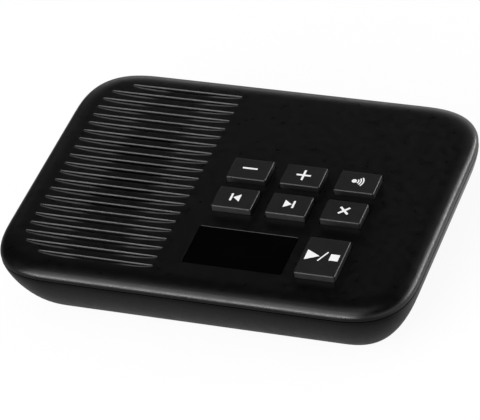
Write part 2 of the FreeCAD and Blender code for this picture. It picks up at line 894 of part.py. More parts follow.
def hangers():
    """Two keyholes for wall screws, each a round hole with a slot towards the back."""
    holes = []
    slot_radius, slot_end = "hanger_slot_width / 2", "hanger_y + hanger_slot_reach"
    for name, side in (("left", -1), ("right", 1)):
        x = f"{side} * hanger_spacing / 2"
        holes.append(floor_cutter(rod, f"hanger_head_{name}", "hanger_head_radius", x=x, y="hanger_y"))
        holes.append(floor_cutter(block, f"hanger_slot_{name}", "hanger_slot_width", "hanger_slot_reach",
                                  x=x, y="hanger_y + hanger_slot_reach / 2"))
        holes.append(floor_cutter(rod, f"hanger_end_{name}", slot_radius, x=x, y=slot_end))
    return holes


def vents():
    return [
        floor_cutter(block, f"vent_{i}", "vent_length", "vent_width",
                     x="board_mid_x", y=f"board_front + vent_start + {i} * vent_pitch")
        for i in range(VENT_COUNT)
    ]


def make_bottom_shell(outer):
    """The tray, with its screw pillars, and with a notch at the back for the socket bay."""
    cavity = shaped("bottom_cavity", lower_skin(size("flank_wall"), size("shell_floor")))
    pillars, pillar_holes = screw_pillars()
    hollow = cut("bottom_hollow", outer, cavity)
    kept = common("bottom_pillars", group("pillar_group", *pillars), outer)
    blank = fuse("bottom_with_pillars", hollow, kept, lip())
    notch = bay_block("bay_notch", "bay_fit", f"foot_stand - {PAST}")
    holes = [notch] + pillar_holes + foot_seats() + hangers() + vents()
    subpart(cut("bottom_shell_solid", blank, *holes), "bottom_shell")


def make_foot(node, side, y):
    body = new_body(node + "_body")
    sketch = circle(body, node + "_sketch", "foot_radius")
    extrude(body, "Pad", node + "_pad", sketch, "foot_stand + foot_seat")
    round_foot(body, node + "_rounding", "foot_edge")
    subpart(place(body, foot_x(side), y, 0), node)


# Screws

def screw(name, head_radius, head_height, shank_radius, shank_length, x, y, z):
    """A pan head below z with a cross recess, and a shank above it."""
    head = rod(name + "_head", head_radius, head_height, x, y, f"{z} - {head_height}")
    shank = rod(name + "_shank", shank_radius, shank_length, x, y, z)
    low = f"{z} - {head_height} - {PAST}"
    reach, deep = f"2 * {head_radius} * recess_share", f"{PAST} + {head_height} / 2"
    across = block(name + "_slot_across", reach, "recess_width", deep, x, y, low)
    along = block(name + "_slot_along", "recess_width", reach, deep, x, y, low)
    return cut(name, fuse(name + "_blank", head, shank), across, along)


def make_screw_set(node, places, head_radius, head_height, shank_radius, shank_length, z):
    screws = [
        screw(f"{node}_{i}", head_radius, head_height, shank_radius, shank_length, x, y, z)
        for i, (x, y) in enumerate(places)
    ]
    subpart(group(node + "_group", *screws), node)


def make_screws():
    make_screw_set("housing_screws", CASE_SCREWS, "screw_head_radius", "screw_head_height",
                   "screw_radius", "screw_length", "(foot_stand + screw_sink)")
    make_screw_set("board_screws", BOARD_BOSSES, "small_head_radius", "small_head_height",
                   "small_screw_radius", "board_thick + board_screw_grip", "board_z")
    make_screw_set("speaker_screws", SPEAKER_SCREWS, "speaker_head_radius", "speaker_head_height",
                   "small_screw_radius", "speaker_shank", "speaker_flange_z")


# Keys

def make_key(node, x, y, depth):
    """A hollow cap with a retaining flange at its foot and a plunger over the dome."""
    body = new_body(node + "_body")
    cap = rectangle(body, node + "_cap_sketch", "key_width", depth)
    extrude(body, "Pad", node + "_cap", cap, "key_height")
    fillet(body, node + "_corners", "key_corner", is_upright)
    round_top(body, node + "_edges", "key_edge")
    flange_wide, flange_deep = (f"{side} + 2 * flange_overhang" for side in ("key_width", depth))
    flange = rectangle(body, node + "_flange_sketch", flange_wide, flange_deep)
    extrude(body, "Pad", node + "_flange", flange, "flange_thick")
    inside = rectangle(body, node + "_inside_sketch", "key_width - 2 * key_wall", f"{depth} - 2 * key_wall")
    extrude(body, "Pocket", node + "_inside", inside, "key_height - key_roof")
    post = circle(body, node + "_post_sketch", "plunger_radius")
    extrude(body, "Pad", node + "_post", post, "key_height - key_roof / 2")
    plunger = circle(body, node + "_plunger_sketch", "plunger_radius")
    extrude(body, "Pad", node + "_plunger", plunger, "plunger_drop", downwards=True)
    subpart(place(body, x, y, "flange_z"), node)


def make_mat():
    """One silicone sheet under all keys, with a hollow dome at each plunger."""
    wide = "2 * key_pitch_across + key_width + 2 * mat_border"
    deep = "key_pitch_along + key_depth + 2 * mat_border"
    rows = block("mat_rows", wide, deep, "mat_thick",
                 "column_x + key_pitch_across", "(near_row_y + far_row_y) / 2", "board_top_z")
    tail_deep = "(near_row_y - play_y + play_key_depth / 2 + mat_border)"
    tail = block("mat_tail", "key_width + 2 * mat_border", tail_deep, "mat_thick", "last_column_x",
                 f"play_y - play_key_depth / 2 - mat_border + {tail_deep} / 2", "board_top_z")
    domes, hollows = [], []
    for node, x, y, _ in key_places():
        domes.append(taper(node + "_dome", "dome_foot_radius", "dome_crown_radius",
                           f"dome_height + {OVERLAP}", x, y, f"mat_top_z - {OVERLAP}"))
        hollows.append(taper(node + "_dome_hollow", "dome_foot_radius - dome_skin",
                             "dome_crown_radius - dome_skin", "dome_height + mat_thick - dome_skin",
                             x, y, "board_top_z"))
    high, low = f"mat_thick + {2 * PAST}", f"board_top_z - {PAST}"
    hollows.append(rod("mat_boss_hole", "board_boss_radius + mat_boss_gap", high, *MIDDLE_BOSS, low))
    hollows.extend(boss_notches("mat", high, low))
    subpart(cut("mat_solid", fuse("mat_blank", rows, tail, *domes), *hollows), "keypad_mat")


# Message display

def make_window():
    body = new_body("window_body")
    sketch = rectangle(body, "window_sketch", "window_width", "window_depth")
    extrude(body, "Pad", "window_pad", sketch, "window_thick")
    fillet(body, "window_corners", "window_corner", is_upright)
    round_top(body, "window_edge_rounding", "window_edge")
    subpart(place(body, "window_x", "window_y", "window_z"), "display_window")


def make_digit(name, x):
    """Seven bars: three lie flat and four stand upright between them."""
    bars = []
    z = "ceiling_z + module_rise"
    for i in (-1, 0, 1):
        y = f"window_y + {i} * digit_half_height"
        bars.append(block(f"{name}_flat_{i + 1}", "bar_length", "bar_width", "bar_thick", x, y, z))
    for i, (across, along) in enumerate(((-1, -1), (-1, 1), (1, -1), (1, 1))):
        bar_x, bar_y = f"{x} + {across} * digit_half_width", f"window_y + {along} * digit_half_height / 2"
        bars.append(block(f"{name}_upright_{i}", "bar_width", "bar_length", "bar_thick", bar_x, bar_y, z))
    return bars


def make_display():
    module = block("module_case", "module_width", "module_depth", "ceiling_z + module_rise - board_top_z",
                   "window_x", "window_y", "board_top_z")
    subpart(module, "display_module")
    tens = make_digit("tens", "window_x - digit_offset")
    units = make_digit("units", "window_x + digit_offset")
    subpart(group("segment_group", *tens, *units), "display_segments")


# Circuit board and what is on it

def make_board():
    """The board, with screw holes and with room left round the case's bosses."""
    blank = block("board_blank", "board_right - board_left", "board_back - board_front", "board_thick",
                  "board_mid_x", "board_mid_y", "board_z")
    high, low = f"board_thick + {2 * PAST}", f"board_z - {PAST}"
    holes = [rod(f"board_hole_{i}", "small_screw_radius + screw_clearance", high, x, y, low)
             for i, (x, y) in enumerate(BOARD_BOSSES)]
    subpart(cut("board_solid", blank, *holes, *boss_notches("board", high, low)), "main_board")


def chip_legs(name, count, row, reach, x, y, turned=False):
    """Two rows of legs along a chip's opposite sides; turned puts them at its left and right."""
    legs = []
    offset = f"({reach} / 2 + leg_reach / 2 - {OVERLAP})"
    for i in range(count):
        along = f"({i / (count - 1) - 0.5} * ({row} - 2 * leg_end_margin))"
        for side in (-1, 1):
            across = f"{side} * {offset}"
            sizes, place_x, place_y = ("leg_width", "leg_reach"), along, across
            if turned:
                sizes, place_x, place_y = sizes[::-1], across, along
            legs.append(block(f"{name}_{i}_{side + 1}", *sizes, "leg_thick",
                              f"{x} + {place_x}", f"{y} + {place_y}", "board_z - leg_thick"))
    return legs


def make_chips():
    x, y = ON_BOARD["processor"]
    case = block("processor_case", "processor_side", "processor_side", "processor_height",
                 x, y, "board_z - processor_height - chip_standoff")
    row = (PROCESSOR_LEGS, "processor_side", "processor_side", x, y)
    legs = chip_legs("processor_leg", *row) + chip_legs("processor_side_leg", *row, turned=True)
    subpart(fuse("processor_solid", case, *legs), "processor")

    x, y = ON_BOARD["memory_chip"]
    case = block("memory_case", "memory_length", "memory_width", "memory_height",
                 x, y, "board_z - memory_height - chip_standoff")
    legs = chip_legs("memory_leg", MEMORY_LEGS, "memory_length", "memory_width", x, y)
    subpart(fuse("memory_solid", case, *legs), "memory_chip")

    regulator = block("regulator_solid", "regulator_length", "regulator_width", "regulator_height",
                      *ON_BOARD["voltage_regulator"], "board_z - regulator_height")
    subpart(regulator, "voltage_regulator")


def make_crystal():
    """A flat can with round ends."""
    x, y = ON_BOARD["crystal"]
    z = "board_z - crystal_height"
    middle = block("crystal_mid", "crystal_length", "crystal_width", "crystal_height", x, y, z)
    ends = [rod(f"crystal_end_{side + 1}", "crystal_width / 2", "crystal_height",
                f"{x} + {side} * crystal_length / 2", y, z) for side in (-1, 1)]
    subpart(fuse("crystal_can", middle, *ends), "crystal")


def make_shield():
    """A pressed can with a row of holes in its lid."""
    x, y = ON_BOARD["rf_shield"]
    can = block("shield_can", "shield_length", "shield_width", "shield_height",
                x, y, "board_z - shield_height")
    inside = block("shield_inside", "shield_length - 2 * shield_skin", "shield_width - 2 * shield_skin",
                   "shield_height", x, y, "board_z - shield_height + shield_skin")
    holes = []
    for i in range(SHIELD_HOLES):
        hole_x = f"{x} + {i - (SHIELD_HOLES - 1) // 2} * shield_hole_pitch"
        holes.append(rod(f"shield_hole_{i}", "shield_hole_radius", f"shield_skin + {2 * PAST}",
                         hole_x, f"{y} - shield_hole_offset", f"board_z - shield_height - {PAST}"))
    subpart(cut("shield_solid", can, inside, *holes), "rf_shield")


def make_antenna(node, x, side):
    """A bent strip: a leg on the board and an arm along its back edge."""
    y = "board_back - antenna_back_margin"
    leg = block(node + "_leg", "antenna_width", "antenna_thick", "antenna_height", x, y, "board_top_z")
    arm = block(node + "_arm", "antenna_length", "antenna_thick", "antenna_width",
                f"{x} + {side} * (antenna_length - antenna_width) / 2", y,
                "board_top_z + antenna_height - antenna_width")
    subpart(fuse(node + "_solid", leg, arm), node)


def make_capacitor(node):
    body = new_body(node + "_body")
    sketch = circle(body, node + "_sketch", "capacitor_radius")
    extrude(body, "Pad", node + "_can", sketch, "capacitor_height", downwards=True)
    round_foot(body, node + "_edge", "capacitor_edge")
    subpart(place(body, *ON_BOARD[node], "board_z"), node)


def make_transformer():
    """The line transformer under the board: a square core round a wound bobbin with six pins."""
    x, y = ON_BOARD["line_transformer"]
    inside = "core_length - 2 * core_leg"
    frame = block("core_frame", "core_length", "core_width", "core_height", x, y, "core_z")
    hollow = block("core_hollow", inside, f"core_width + {2 * PAST}", "core_height - 2 * core_yoke",
                   x, y, "core_z + core_yoke")
    subpart(cut("core_solid", frame, hollow), "transformer_core")
    bobbin = block("winding_body", f"{inside} - 2 * winding_fit", "winding_width",
                   "core_height - 2 * core_yoke - 2 * winding_fit", x, y, "winding_z")
    pins = []
    for i in (-1, 0, 1):
        for side in (-1, 1):
            pin_y = f"{y} + {side} * (winding_width / 2 - pin_inset)"
            pins.append(block(f"winding_pin_{i + 1}_{side + 1}", "pin_width", "pin_width",
                              "board_z - winding_z", f"{x} + {i} * pin_pitch", pin_y, "winding_z"))
    subpart(fuse("winding_solid", bobbin, *pins), "line_transformer")


def make_socket(name, x, wide, mouth_wide, contacts):
    """A modular socket under the board's back edge, its mouth flush with the bay's wall."""
    case = block(name + "_case", wide, "socket_depth", "socket_height", x, "socket_y", "socket_z")
    long, y = f"mouth_length + {PAST}", f"bay_y - mouth_length / 2 + {PAST / 2}"
    mouth = block(name + "_mouth", mouth_wide, long, "socket_mouth_height", x, y, "mouth_z")
    latch_way = block(name + "_latch_way", "latch_width", long, "latch_height",
                      x, y, f"mouth_z - latch_height + {OVERLAP}")
    subpart(cut(name + "_solid", case, mouth, latch_way), name)
    wires = []
    for i in range(contacts):
        wire = doc.addObject("Part::Cylinder", f"{name}_wire_{i}")
        bind(wire, Radius="contact_radius", Height="mouth_length - contact_setback - contact_inner_gap")
        wire.Placement.Rotation = Rotation(Vector(1, 0, 0), CONTACT_TILT)
        wire_x = f"{x} + {i - (contacts - 1) / 2} * contact_pitch"
        top = "mouth_z + socket_mouth_height - contact_top_gap"
        wires.append(place(wire, wire_x, "bay_y - contact_setback", top))
    subpart(group(name + "_contact_group", *wires), name.replace("socket", "contacts"))


# Loudspeaker

def make_basket():
    """A pressed frame: flange, wall and shelf above, a flare with four windows, and a cup on the plate."""
    x = "speaker_x"
    inner_wall, inner_cup = "wall_radius - speaker_wall", "cup_radius - speaker_wall"
    ledge = "magnet_radius + cup_overhang - ledge_inset"
    outer = taper("basket_flare_outer", "cup_radius", "wall_radius", "shelf_z - flare_z", x, 0, "flare_z")
    inner = taper("basket_flare_inner", inner_cup, inner_wall, "shelf_z - flare_z", x, 0, "flare_z")
    solid = fuse(
        "basket_blank",
        ring("basket_flange", "speaker_radius", "speaker_radius - flange_land", "speaker_flange",
             x, 0, "speaker_flange_z"),
        ring("basket_wall", "wall_radius", inner_wall, "speaker_flange_z - shelf_z", x, 0, "shelf_z"),
        ring("basket_shelf", "wall_radius", f"{inner_wall} - shelf_width", "shelf_thick", x, 0, "shelf_z"),
        ring("basket_cup", "cup_radius", inner_cup, "cup_height", x, 0, "basket_z"),
        ring("basket_floor", "cup_radius", "gap_radius", "speaker_wall", x, 0, "basket_z"),
        ring("basket_ledge", ledge, f"{ledge} - ledge_width", "ledge_height", x, 0, "basket_z"),
        cut("basket_flare", outer, inner),
    )
    windows = []
    for i, (across, along) in enumerate(((1, 1), (1, -1), (-1, 1), (-1, -1))):
        windows.append(block(f"basket_window_{i}", "basket_window", "basket_window",
                             "shelf_z - flare_z - 2 * basket_window_margin",
                             f"{x} + {across} * basket_window_offset", f"{along} * basket_window_offset",
                             "flare_z + basket_window_margin"))
    subpart(cut("basket_solid", solid, *windows), "speaker_frame")


def make_motor():
    """The magnet between the top plate and the yoke, whose pole stands inside the coil."""
    x = "speaker_x"
    top_plate = ring("top_plate_solid", "yoke_radius", "gap_radius", "plate_thick", x, 0, "plate_z")
    subpart(top_plate, "speaker_top_plate")
    magnet = ring("magnet_solid", "magnet_radius", "pole_radius + magnet_bore_gap", "magnet_height",
                  x, 0, "magnet_z")
    subpart(magnet, "speaker_magnet")
    plate = rod("yoke_plate", "yoke_radius", "plate_thick", x, 0, "yoke_z")
    pole_low = f"magnet_z - {OVERLAP}"
    pole = rod("yoke_pole", "pole_radius", f"basket_z - ({pole_low})", x, 0, pole_low)
    subpart(fuse("yoke_solid", plate, pole), "speaker_yoke")


def make_coil():
    """The winding round the lower end of a thin former."""
    x = "speaker_x"
    former = ring("coil_former", "neck_radius", "coil_radius",
                  "cone_z + former_rise - plate_z + former_drop", x, 0, "plate_z - former_drop")
    winding = ring("coil_winding", "coil_radius + coil_thick", "coil_radius + coil_thick / 4",
                   "plate_thick + 2 * winding_overhang", x, 0, "plate_z - winding_overhang")
    subpart(fuse("coil_solid", former, winding), "speaker_voice_coil")


def make_cone():
    """The cone, and the dust cap whose edge rests on it."""
    x, high = "speaker_x", "rim_z - cone_z"
    outer = taper("cone_outer", "neck_radius + cone_skin", "cone_radius", high, x, 0, "cone_z")
    inner = taper("cone_inner", "neck_radius", "cone_radius - cone_skin", high, x, 0, "cone_z")
    subpart(cut("cone_solid", outer, inner), "speaker_cone")
    centre_z = "cap_edge_z + cap_rise - cap_ball_radius"
    dome = ball("cap_dome", "cap_ball_radius", x, 0, centre_z)
    hollow = ball("cap_hollow", "cap_ball_radius - cap_skin", x, 0, centre_z)
    keep = rod("cap_keep", f"cap_radius + {PAST}", f"cap_rise + {PAST}", x, 0, "cap_edge_z")
    subpart(common("cap_solid", cut("cap_shell", dome, hollow), keep), "speaker_dust_cap")


def make_suspension():
    """The spider on the ledge, and the half-round surround with its flat foot on the shelf."""
    x = "speaker_x"
    spider = ring("spider_solid", "magnet_radius", "neck_radius + spider_fit", "spider_thick",
                  x, 0, "spider_z")
    subpart(spider, "speaker_spider")
    outer = torus("roll_outer", "surround_radius", "surround_roll", x, 0, "surround_z")
    inner = torus("roll_inner", "surround_radius", "surround_roll - surround_skin", x, 0, "surround_z")
    keep = rod("roll_keep", "speaker_radius", f"surround_roll + {PAST}", x, 0, "surround_z")
    roll = common("roll_half", cut("roll_shell", outer, inner), keep)
    foot = ring("roll_foot", "wall_radius - speaker_wall - surround_fit",
                "surround_radius + surround_roll - surround_skin / 2", "surround_skin", x, 0, "surround_z")
    subpart(fuse("surround_solid", roll, foot), "speaker_surround")


def make_speaker_fittings():
    x = "speaker_x"
    gasket_radius = "speaker_radius - gasket_inset"
    gasket = ring("gasket_solid", gasket_radius, f"{gasket_radius} - gasket_width", "gasket_thick",
                  x, 0, "speaker_top_z")
    subpart(gasket, "speaker_gasket")
    plate = block("terminal_plate", "terminal_thick", "terminal_width", "terminal_height",
                  "terminal_x", 0, "basket_z + terminal_lift")
    lug_x = f"terminal_x + terminal_thick / 2 + lug_length / 2 - {OVERLAP}"
    lugs = [block(f"terminal_lug_{side + 1}", "lug_length", "lug_width", "lug_thick",
                  lug_x, f"{side} * lead_offset", "lug_z") for side in (-1, 1)]
    subpart(fuse("terminal_solid", plate, *lugs), "speaker_terminals")
    connector = block("connector_solid", "connector_length", "connector_width", "connector_height",
                      "board_left + connector_inset + connector_length / 2", 0, "board_top_z")
    subpart(connector, "speaker_connector")
    leads = Part.makeCompound([speaker_lead(side) for side in (-1, 1)])
    subpart(shaped("lead_pair", leads), "speaker_leads")


def speaker_lead(side):
    """One insulated wire: out of the connector, then down to its terminal lug in one bend."""
    y = side * size("lead_offset")
    start_z = size("board_top_z") + size("lead_exit_height")
    start = Vector(size("board_left") + size("connector_inset"), y, start_z)
    lug_middle = size("terminal_x") + (size("terminal_thick") + size("lug_length")) / 2 - OVERLAP
    end = Vector(lug_middle + size("lead_landing"), y, size("lug_z") + size("lug_thick"))
    bend = min(start.x - end.x, start.z - end.z) * size("lead_bend_share")
    before = Vector(end.x + bend, y, start.z)
    after = Vector(end.x, y, start.z - bend)
    centre = Vector(end.x + bend, y, start.z - bend)
    middle = centre + Vector(-1, 0, 1) * (bend / math.sqrt(2))
    path = Part.Wire([
        Part.LineSegment(start, before).toShape(),
        Part.Arc(before, middle, after).toShape(),
        Part.LineSegment(after, end).toShape(),
    ])
    section = Part.Wire(Part.makeCircle(size("lead_radius"), start, Vector(-1, 0, 0)))
    return path.makePipeShell([section], True, False)


# Build, test and write

def build():
    fill_sheet()
    make_top_shell()
    lower_outer = shaped("bottom_skin", lower_skin(0, 0))
    make_bottom_shell(lower_outer)
    make_socket_bay(lower_outer)
    for node, (side, y) in FEET.items():
        make_foot(node, side, y)
    make_screws()
    for node, x, y, depth in key_places():
        make_key(node, x, y, depth)
    make_mat()
    make_window()
    make_display()
    make_board()
    make_chips()
    make_crystal()
    make_shield()
    make_antenna("antenna_left", "board_left + antenna_side_margin", 1)
    make_antenna("antenna_right", "board_right - antenna_side_margin", -1)
    for node in ("capacitor_1", "capacitor_2", "capacitor_3"):
        make_capacitor(node)
    make_transformer()
    make_socket("line_socket", "line_x", "line_socket_width", "line_mouth_width", LINE_CONTACTS)
    make_socket("power_socket", "power_x", "power_socket_width", "power_mouth_width", POWER_CONTACTS)
    make_basket()
    make_motor()
    make_coil()
    make_cone()
    make_suspension()
    make_speaker_fittings()
    doc.recompute()


def check():
    for item in doc.Objects:
        if {"Invalid", "Error"} & set(item.State):
            raise RuntimeError(f"{item.Name} failed: {item.State}")
    for item in subparts:
        if item.Shape.isNull() or not item.Shape.isValid() or not item.Shape.Solids:
            raise RuntimeError(f"{item.Label} has no valid solid")


def write():
    os.makedirs("parts", exist_ok=True)
    for item in subparts:
        item.Shape.exportStep(f"parts/{item.Label}.step")
        print(item.Label, len(item.Shape.Solids), round(item.Shape.Volume, 1))


build()
check()
write()
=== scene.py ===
import json
import math

import bmesh
import bpy
from mathutils import Matrix, Vector


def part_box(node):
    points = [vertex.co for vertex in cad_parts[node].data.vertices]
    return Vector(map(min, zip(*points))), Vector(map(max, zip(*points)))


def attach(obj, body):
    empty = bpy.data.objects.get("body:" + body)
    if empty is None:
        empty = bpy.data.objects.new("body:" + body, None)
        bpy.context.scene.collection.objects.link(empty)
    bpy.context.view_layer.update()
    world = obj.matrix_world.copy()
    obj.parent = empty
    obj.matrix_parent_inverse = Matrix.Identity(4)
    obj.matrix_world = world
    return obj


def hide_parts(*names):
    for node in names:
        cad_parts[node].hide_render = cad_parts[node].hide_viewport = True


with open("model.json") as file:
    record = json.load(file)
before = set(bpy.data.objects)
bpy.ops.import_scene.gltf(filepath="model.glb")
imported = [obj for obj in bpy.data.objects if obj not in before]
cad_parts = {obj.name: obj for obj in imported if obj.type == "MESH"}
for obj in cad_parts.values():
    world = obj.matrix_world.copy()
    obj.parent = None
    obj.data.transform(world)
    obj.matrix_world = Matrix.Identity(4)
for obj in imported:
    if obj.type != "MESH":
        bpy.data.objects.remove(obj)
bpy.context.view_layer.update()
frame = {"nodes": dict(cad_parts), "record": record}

# The frame is in metres. Meshes are worked out in millimetres and made small as they are finished.
MM = 0.001


def node_box(node):
    """A node's lowest and highest corners, in millimetres."""
    low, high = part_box(node)
    return low / MM, high / MM


# Sizes of the case, in millimetres

CASE_HIGH = node_box("top_shell")[1]
HALF_WIDE = CASE_HIGH.x
HALF_DEEP = CASE_HIGH.y
TOP_Z = CASE_HIGH.z
STAND_Z = node_box("bottom_shell")[0].z

CORNER_RADIUS = 25.8
CORNER_POWER = 2.78
CORNER_STEPS = 20
EDGE_DROP = 4.5
EDGE_RUN = 8.2
EDGE_POWER = 2.6
FLANK_RUN = 12.0
FLANK_POWER = 1.37
PROFILE_STEPS = 16

PARTING_Z = TOP_Z - EDGE_DROP
PARTING_GAP = 0.4
TRAY_TOP_Z = PARTING_Z - PARTING_GAP
SOFT_EDGE = 0.15
ROOF = 2.2
RIM = 2.2
CEILING_Z = TOP_Z - ROOF
CAVITY_INSET = 4.2
RABBET_Z = PARTING_Z + 1.6
LIP_INSET = 2.35
LIP_THICK = 1.5
LIP_TOP_Z = PARTING_Z + 1.4
LIP_ROOT_DROP = 3.5
FLANK_WALL = 2.2
FLOOR_Z = STAND_Z + 2.0

# How far a cutter reaches past the wall it cuts, and above the top face
PAST = 1.0
ABOVE = 0.5


# Mesh helpers

# Steps round most turned shapes, the wider holes in the floor and the feet, and round a rectangle's corner
ROUND_STEPS = 48
FINE_STEPS = 64
FOOT_STEPS = 72
CORNER_TURN_STEPS = 6

MERGE_DISTANCE = 1e-4
SHARP_ANGLE = 32.0


def loft(rings):
    """A closed mesh through rings of equal length, with a flat face over the first and the last."""
    count = len(rings[0])
    points = [point for ring in rings for point in ring]
    faces = [list(range(count))[::-1]]
    for level in range(len(rings) - 1):
        start = level * count
        for i in range(count):
            j = (i + 1) % count
            faces.append([start + i, start + j, start + count + j, start + count + i])
    last = (len(rings) - 1) * count
    faces.append([last + i for i in range(count)])
    return points, faces


def circle(centre, radius, steps):
    """Points round a centre, in plan."""
    turns = [2 * math.pi * i / steps for i in range(steps)]
    return [(centre[0] + radius * math.cos(turn), centre[1] + radius * math.sin(turn)) for turn in turns]


def turned(profile, centre, steps=ROUND_STEPS):
    """A solid of rings stacked from (radius, z) pairs, flat at both ends."""
    return loft([[(x, y, z) for x, y in circle(centre, radius, steps)] for radius, z in profile])


def box_mesh(low, high):
    """A box between two opposite corners."""
    corners = ((low[0], low[1]), (high[0], low[1]), (high[0], high[1]), (low[0], high[1]))
    return loft([[(x, y, z) for x, y in corners] for z in (low[2], high[2])])


def middle_of(low, high):
    """The middle between two corners, in plan."""
    return (low[0] + high[0]) / 2, (low[1] + high[1]) / 2


def grown(low, high, out):
    """Two corners moved apart by the same distance on every side, in plan."""
    return (low[0] - out, low[1] - out), (high[0] + out, high[1] + out)


def rounded_ring(low, high, radius, z, steps=CORNER_TURN_STEPS):
    """A rectangle with round corners, as a level ring of points."""
    ring = []
    corners = (
        (high[0] - radius, high[1] - radius, 0),
        (low[0] + radius, high[1] - radius, 1),
        (low[0] + radius, low[1] + radius, 2),
        (high[0] - radius, low[1] + radius, 3),
    )
    for x, y, quarter in corners:
        for step in range(steps + 1):
            turn = math.pi / 2 * (quarter + step / steps)
            ring.append((x + radius * math.cos(turn), y + radius * math.sin(turn), z))
    return ring


def make_object(name, *parts):
    """One object from (points, faces) parts, in millimetres."""
    mesh = bpy.data.meshes.new(name)
    points, faces = [], []
    for part_points, part_faces in parts:
        start = len(points)
        points += [tuple(p) for p in part_points]
        faces += [[start + i for i in face] for face in part_faces]
    mesh.from_pydata(points, [], faces)
    mesh.validate()
    work = bmesh.new()
    work.from_mesh(mesh)
    bmesh.ops.recalc_face_normals(work, faces=work.faces)
    work.to_mesh(mesh)
    work.free()
    item = bpy.data.objects.new(name, mesh)
    bpy.context.scene.collection.objects.link(item)
    return item


def apply_modifiers(item):
    """The object's mesh becomes what its modifiers make of it, and they are removed."""
    graph = bpy.context.evaluated_depsgraph_get()
    mesh = bpy.data.meshes.new_from_object(item.evaluated_get(graph))
    item.modifiers.clear()
    old = item.data
    item.data = mesh
    bpy.data.meshes.remove(old)


def combine(item, other, way="DIFFERENCE"):
    """The item loses or gains the other object's shape, and the other object is used up."""
    modifier = item.modifiers.new("shape", "BOOLEAN")
    modifier.operation = way
    modifier.solver = "EXACT"
    modifier.object = other
    apply_modifiers(item)
    bpy.data.objects.remove(other)


def settle(item, body, slot):
    """Cleans a finished mesh, makes it small, shades it, and gives it its finish, body and slot."""
    work = bmesh.new()
    work.from_mesh(item.data)
    bmesh.ops.remove_doubles(work, verts=work.verts, dist=MERGE_DISTANCE)
    bmesh.ops.dissolve_degenerate(work, edges=work.edges, dist=MERGE_DISTANCE)
    work.to_mesh(item.data)
    work.free()
    item.data.transform(Matrix.Scale(MM, 4))
    item.data.polygons.foreach_set("use_smooth", [True] * len(item.data.polygons))
    item.data.set_sharp_from_angle(angle=math.radians(SHARP_ANGLE))
    weighted = item.modifiers.new("even_shading", "WEIGHTED_NORMAL")
    weighted.keep_sharp = True
    apply_modifiers(item)
    item.data.materials.clear()
    item.data.materials.append(MATERIALS[slot])
    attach(item, body)


# Node helpers, for materials and for the world

def add_node(owner, kind, **settings):
    """A new node in the owner's tree."""
    node = owner.node_tree.nodes.new(kind)
    for key, value in settings.items():
        setattr(node, key, value)
    return node


def join(owner, source, target):
    """A link in the owner's tree."""
    owner.node_tree.links.new(source, target)


def between(owner, value, low, high, near=0.3, far=0.7):
    """The value's range from near to far, spread over low to high."""
    spread = add_node(owner, "ShaderNodeMapRange")
    spread.inputs["From Min"].default_value = near
    spread.inputs["From Max"].default_value = far
    spread.inputs["To Min"].default_value = low
    spread.inputs["To Max"].default_value = high
    join(owner, value, spread.inputs["Value"])
    return spread.outputs["Result"]


def product(owner, first, second):
    """The first value times the second."""
    node = add_node(owner, "ShaderNodeMath", operation="MULTIPLY")
    join(owner, first, node.inputs[0])
    join(owner, second, node.inputs[1])
    return node.outputs[0]


def along_way(owner, place, way):
    """How far a place lies in a direction."""
    node = add_node(owner, "ShaderNodeVectorMath", operation="DOT_PRODUCT")
    node.inputs[1].default_value = way
    join(owner, place, node.inputs[0])
    return node.outputs["Value"]


# Materials

# Widths of the soft patches of shade and of gloss, in millimetres
SHADE_PATCH = 14.0
GLOSS_PATCH = 3.0
NOISE_DETAIL = 3.0


def shader_of(material):
    """The material's main shader."""
    return material.node_tree.nodes["Principled BSDF"]


def noise(material, grain):
    """A noise whose blobs are about grain millimetres wide, fixed to the piece."""
    where = add_node(material, "ShaderNodeTexCoord")
    texture = add_node(material, "ShaderNodeTexNoise")
    texture.inputs["Scale"].default_value = 1.0 / (grain * MM)
    texture.inputs["Detail"].default_value = NOISE_DETAIL
    join(material, where.outputs["Object"], texture.inputs["Vector"])
    return texture.outputs["Fac"]


def mottle(material, value, first, second):
    """The base colour runs between two shades with the value."""
    mix = add_node(material, "ShaderNodeMix", data_type="RGBA")
    mix.inputs["A"].default_value = (*first, 1.0)
    mix.inputs["B"].default_value = (*second, 1.0)
    join(material, between(material, value, 0.0, 1.0), mix.inputs["Factor"])
    join(material, mix.outputs["Result"], shader_of(material).inputs["Base Color"])


def vary_roughness(material, value, low, high):
    """The roughness runs from low to high with the value."""
    join(material, between(material, value, low, high), shader_of(material).inputs["Roughness"])


def relief(material, value, depth):
    """A bump of the given depth in millimetres."""
    bump = add_node(material, "ShaderNodeBump")
    bump.inputs["Distance"].default_value = depth * MM
    bump.inputs["Strength"].default_value = 1.0
    join(material, value, bump.inputs["Height"])
    join(material, bump.outputs["Normal"], shader_of(material).inputs["Normal"])


def grained(name, color, roughness, grain, depth, spread=0.05, contrast=0.25, metallic=0.0, mirror=0.5):
    """A moulded or pressed surface with fine relief, its width and depth given in millimetres.

    The roughness varies by the spread either way, and the colour by the contrast as a share. Mirror is the
    strength of its plain reflection.
    """
    material = bpy.data.materials.new(name)
    material.use_nodes = True
    shader = shader_of(material)
    shader.inputs["Base Color"].default_value = (*color, 1.0)
    shader.inputs["Roughness"].default_value = roughness
    shader.inputs["Metallic"].default_value = metallic
    shader.inputs["Specular IOR Level"].default_value = mirror
    lighter = [min(1.0, c * (1 + contrast)) for c in color]
    darker = [c * (1 - contrast) for c in color]
    mottle(material, noise(material, SHADE_PATCH), darker, lighter)
    vary_roughness(material, noise(material, GLOSS_PATCH), roughness - spread, roughness + spread)
    relief(material, noise(material, grain), depth)
    return material


def metal(name, color, roughness, grain, depth, contrast=0.08):
    """A grained metal, as a rule with little change of shade."""
    return grained(name, color, roughness, grain, depth, contrast=contrast, metallic=1.0)


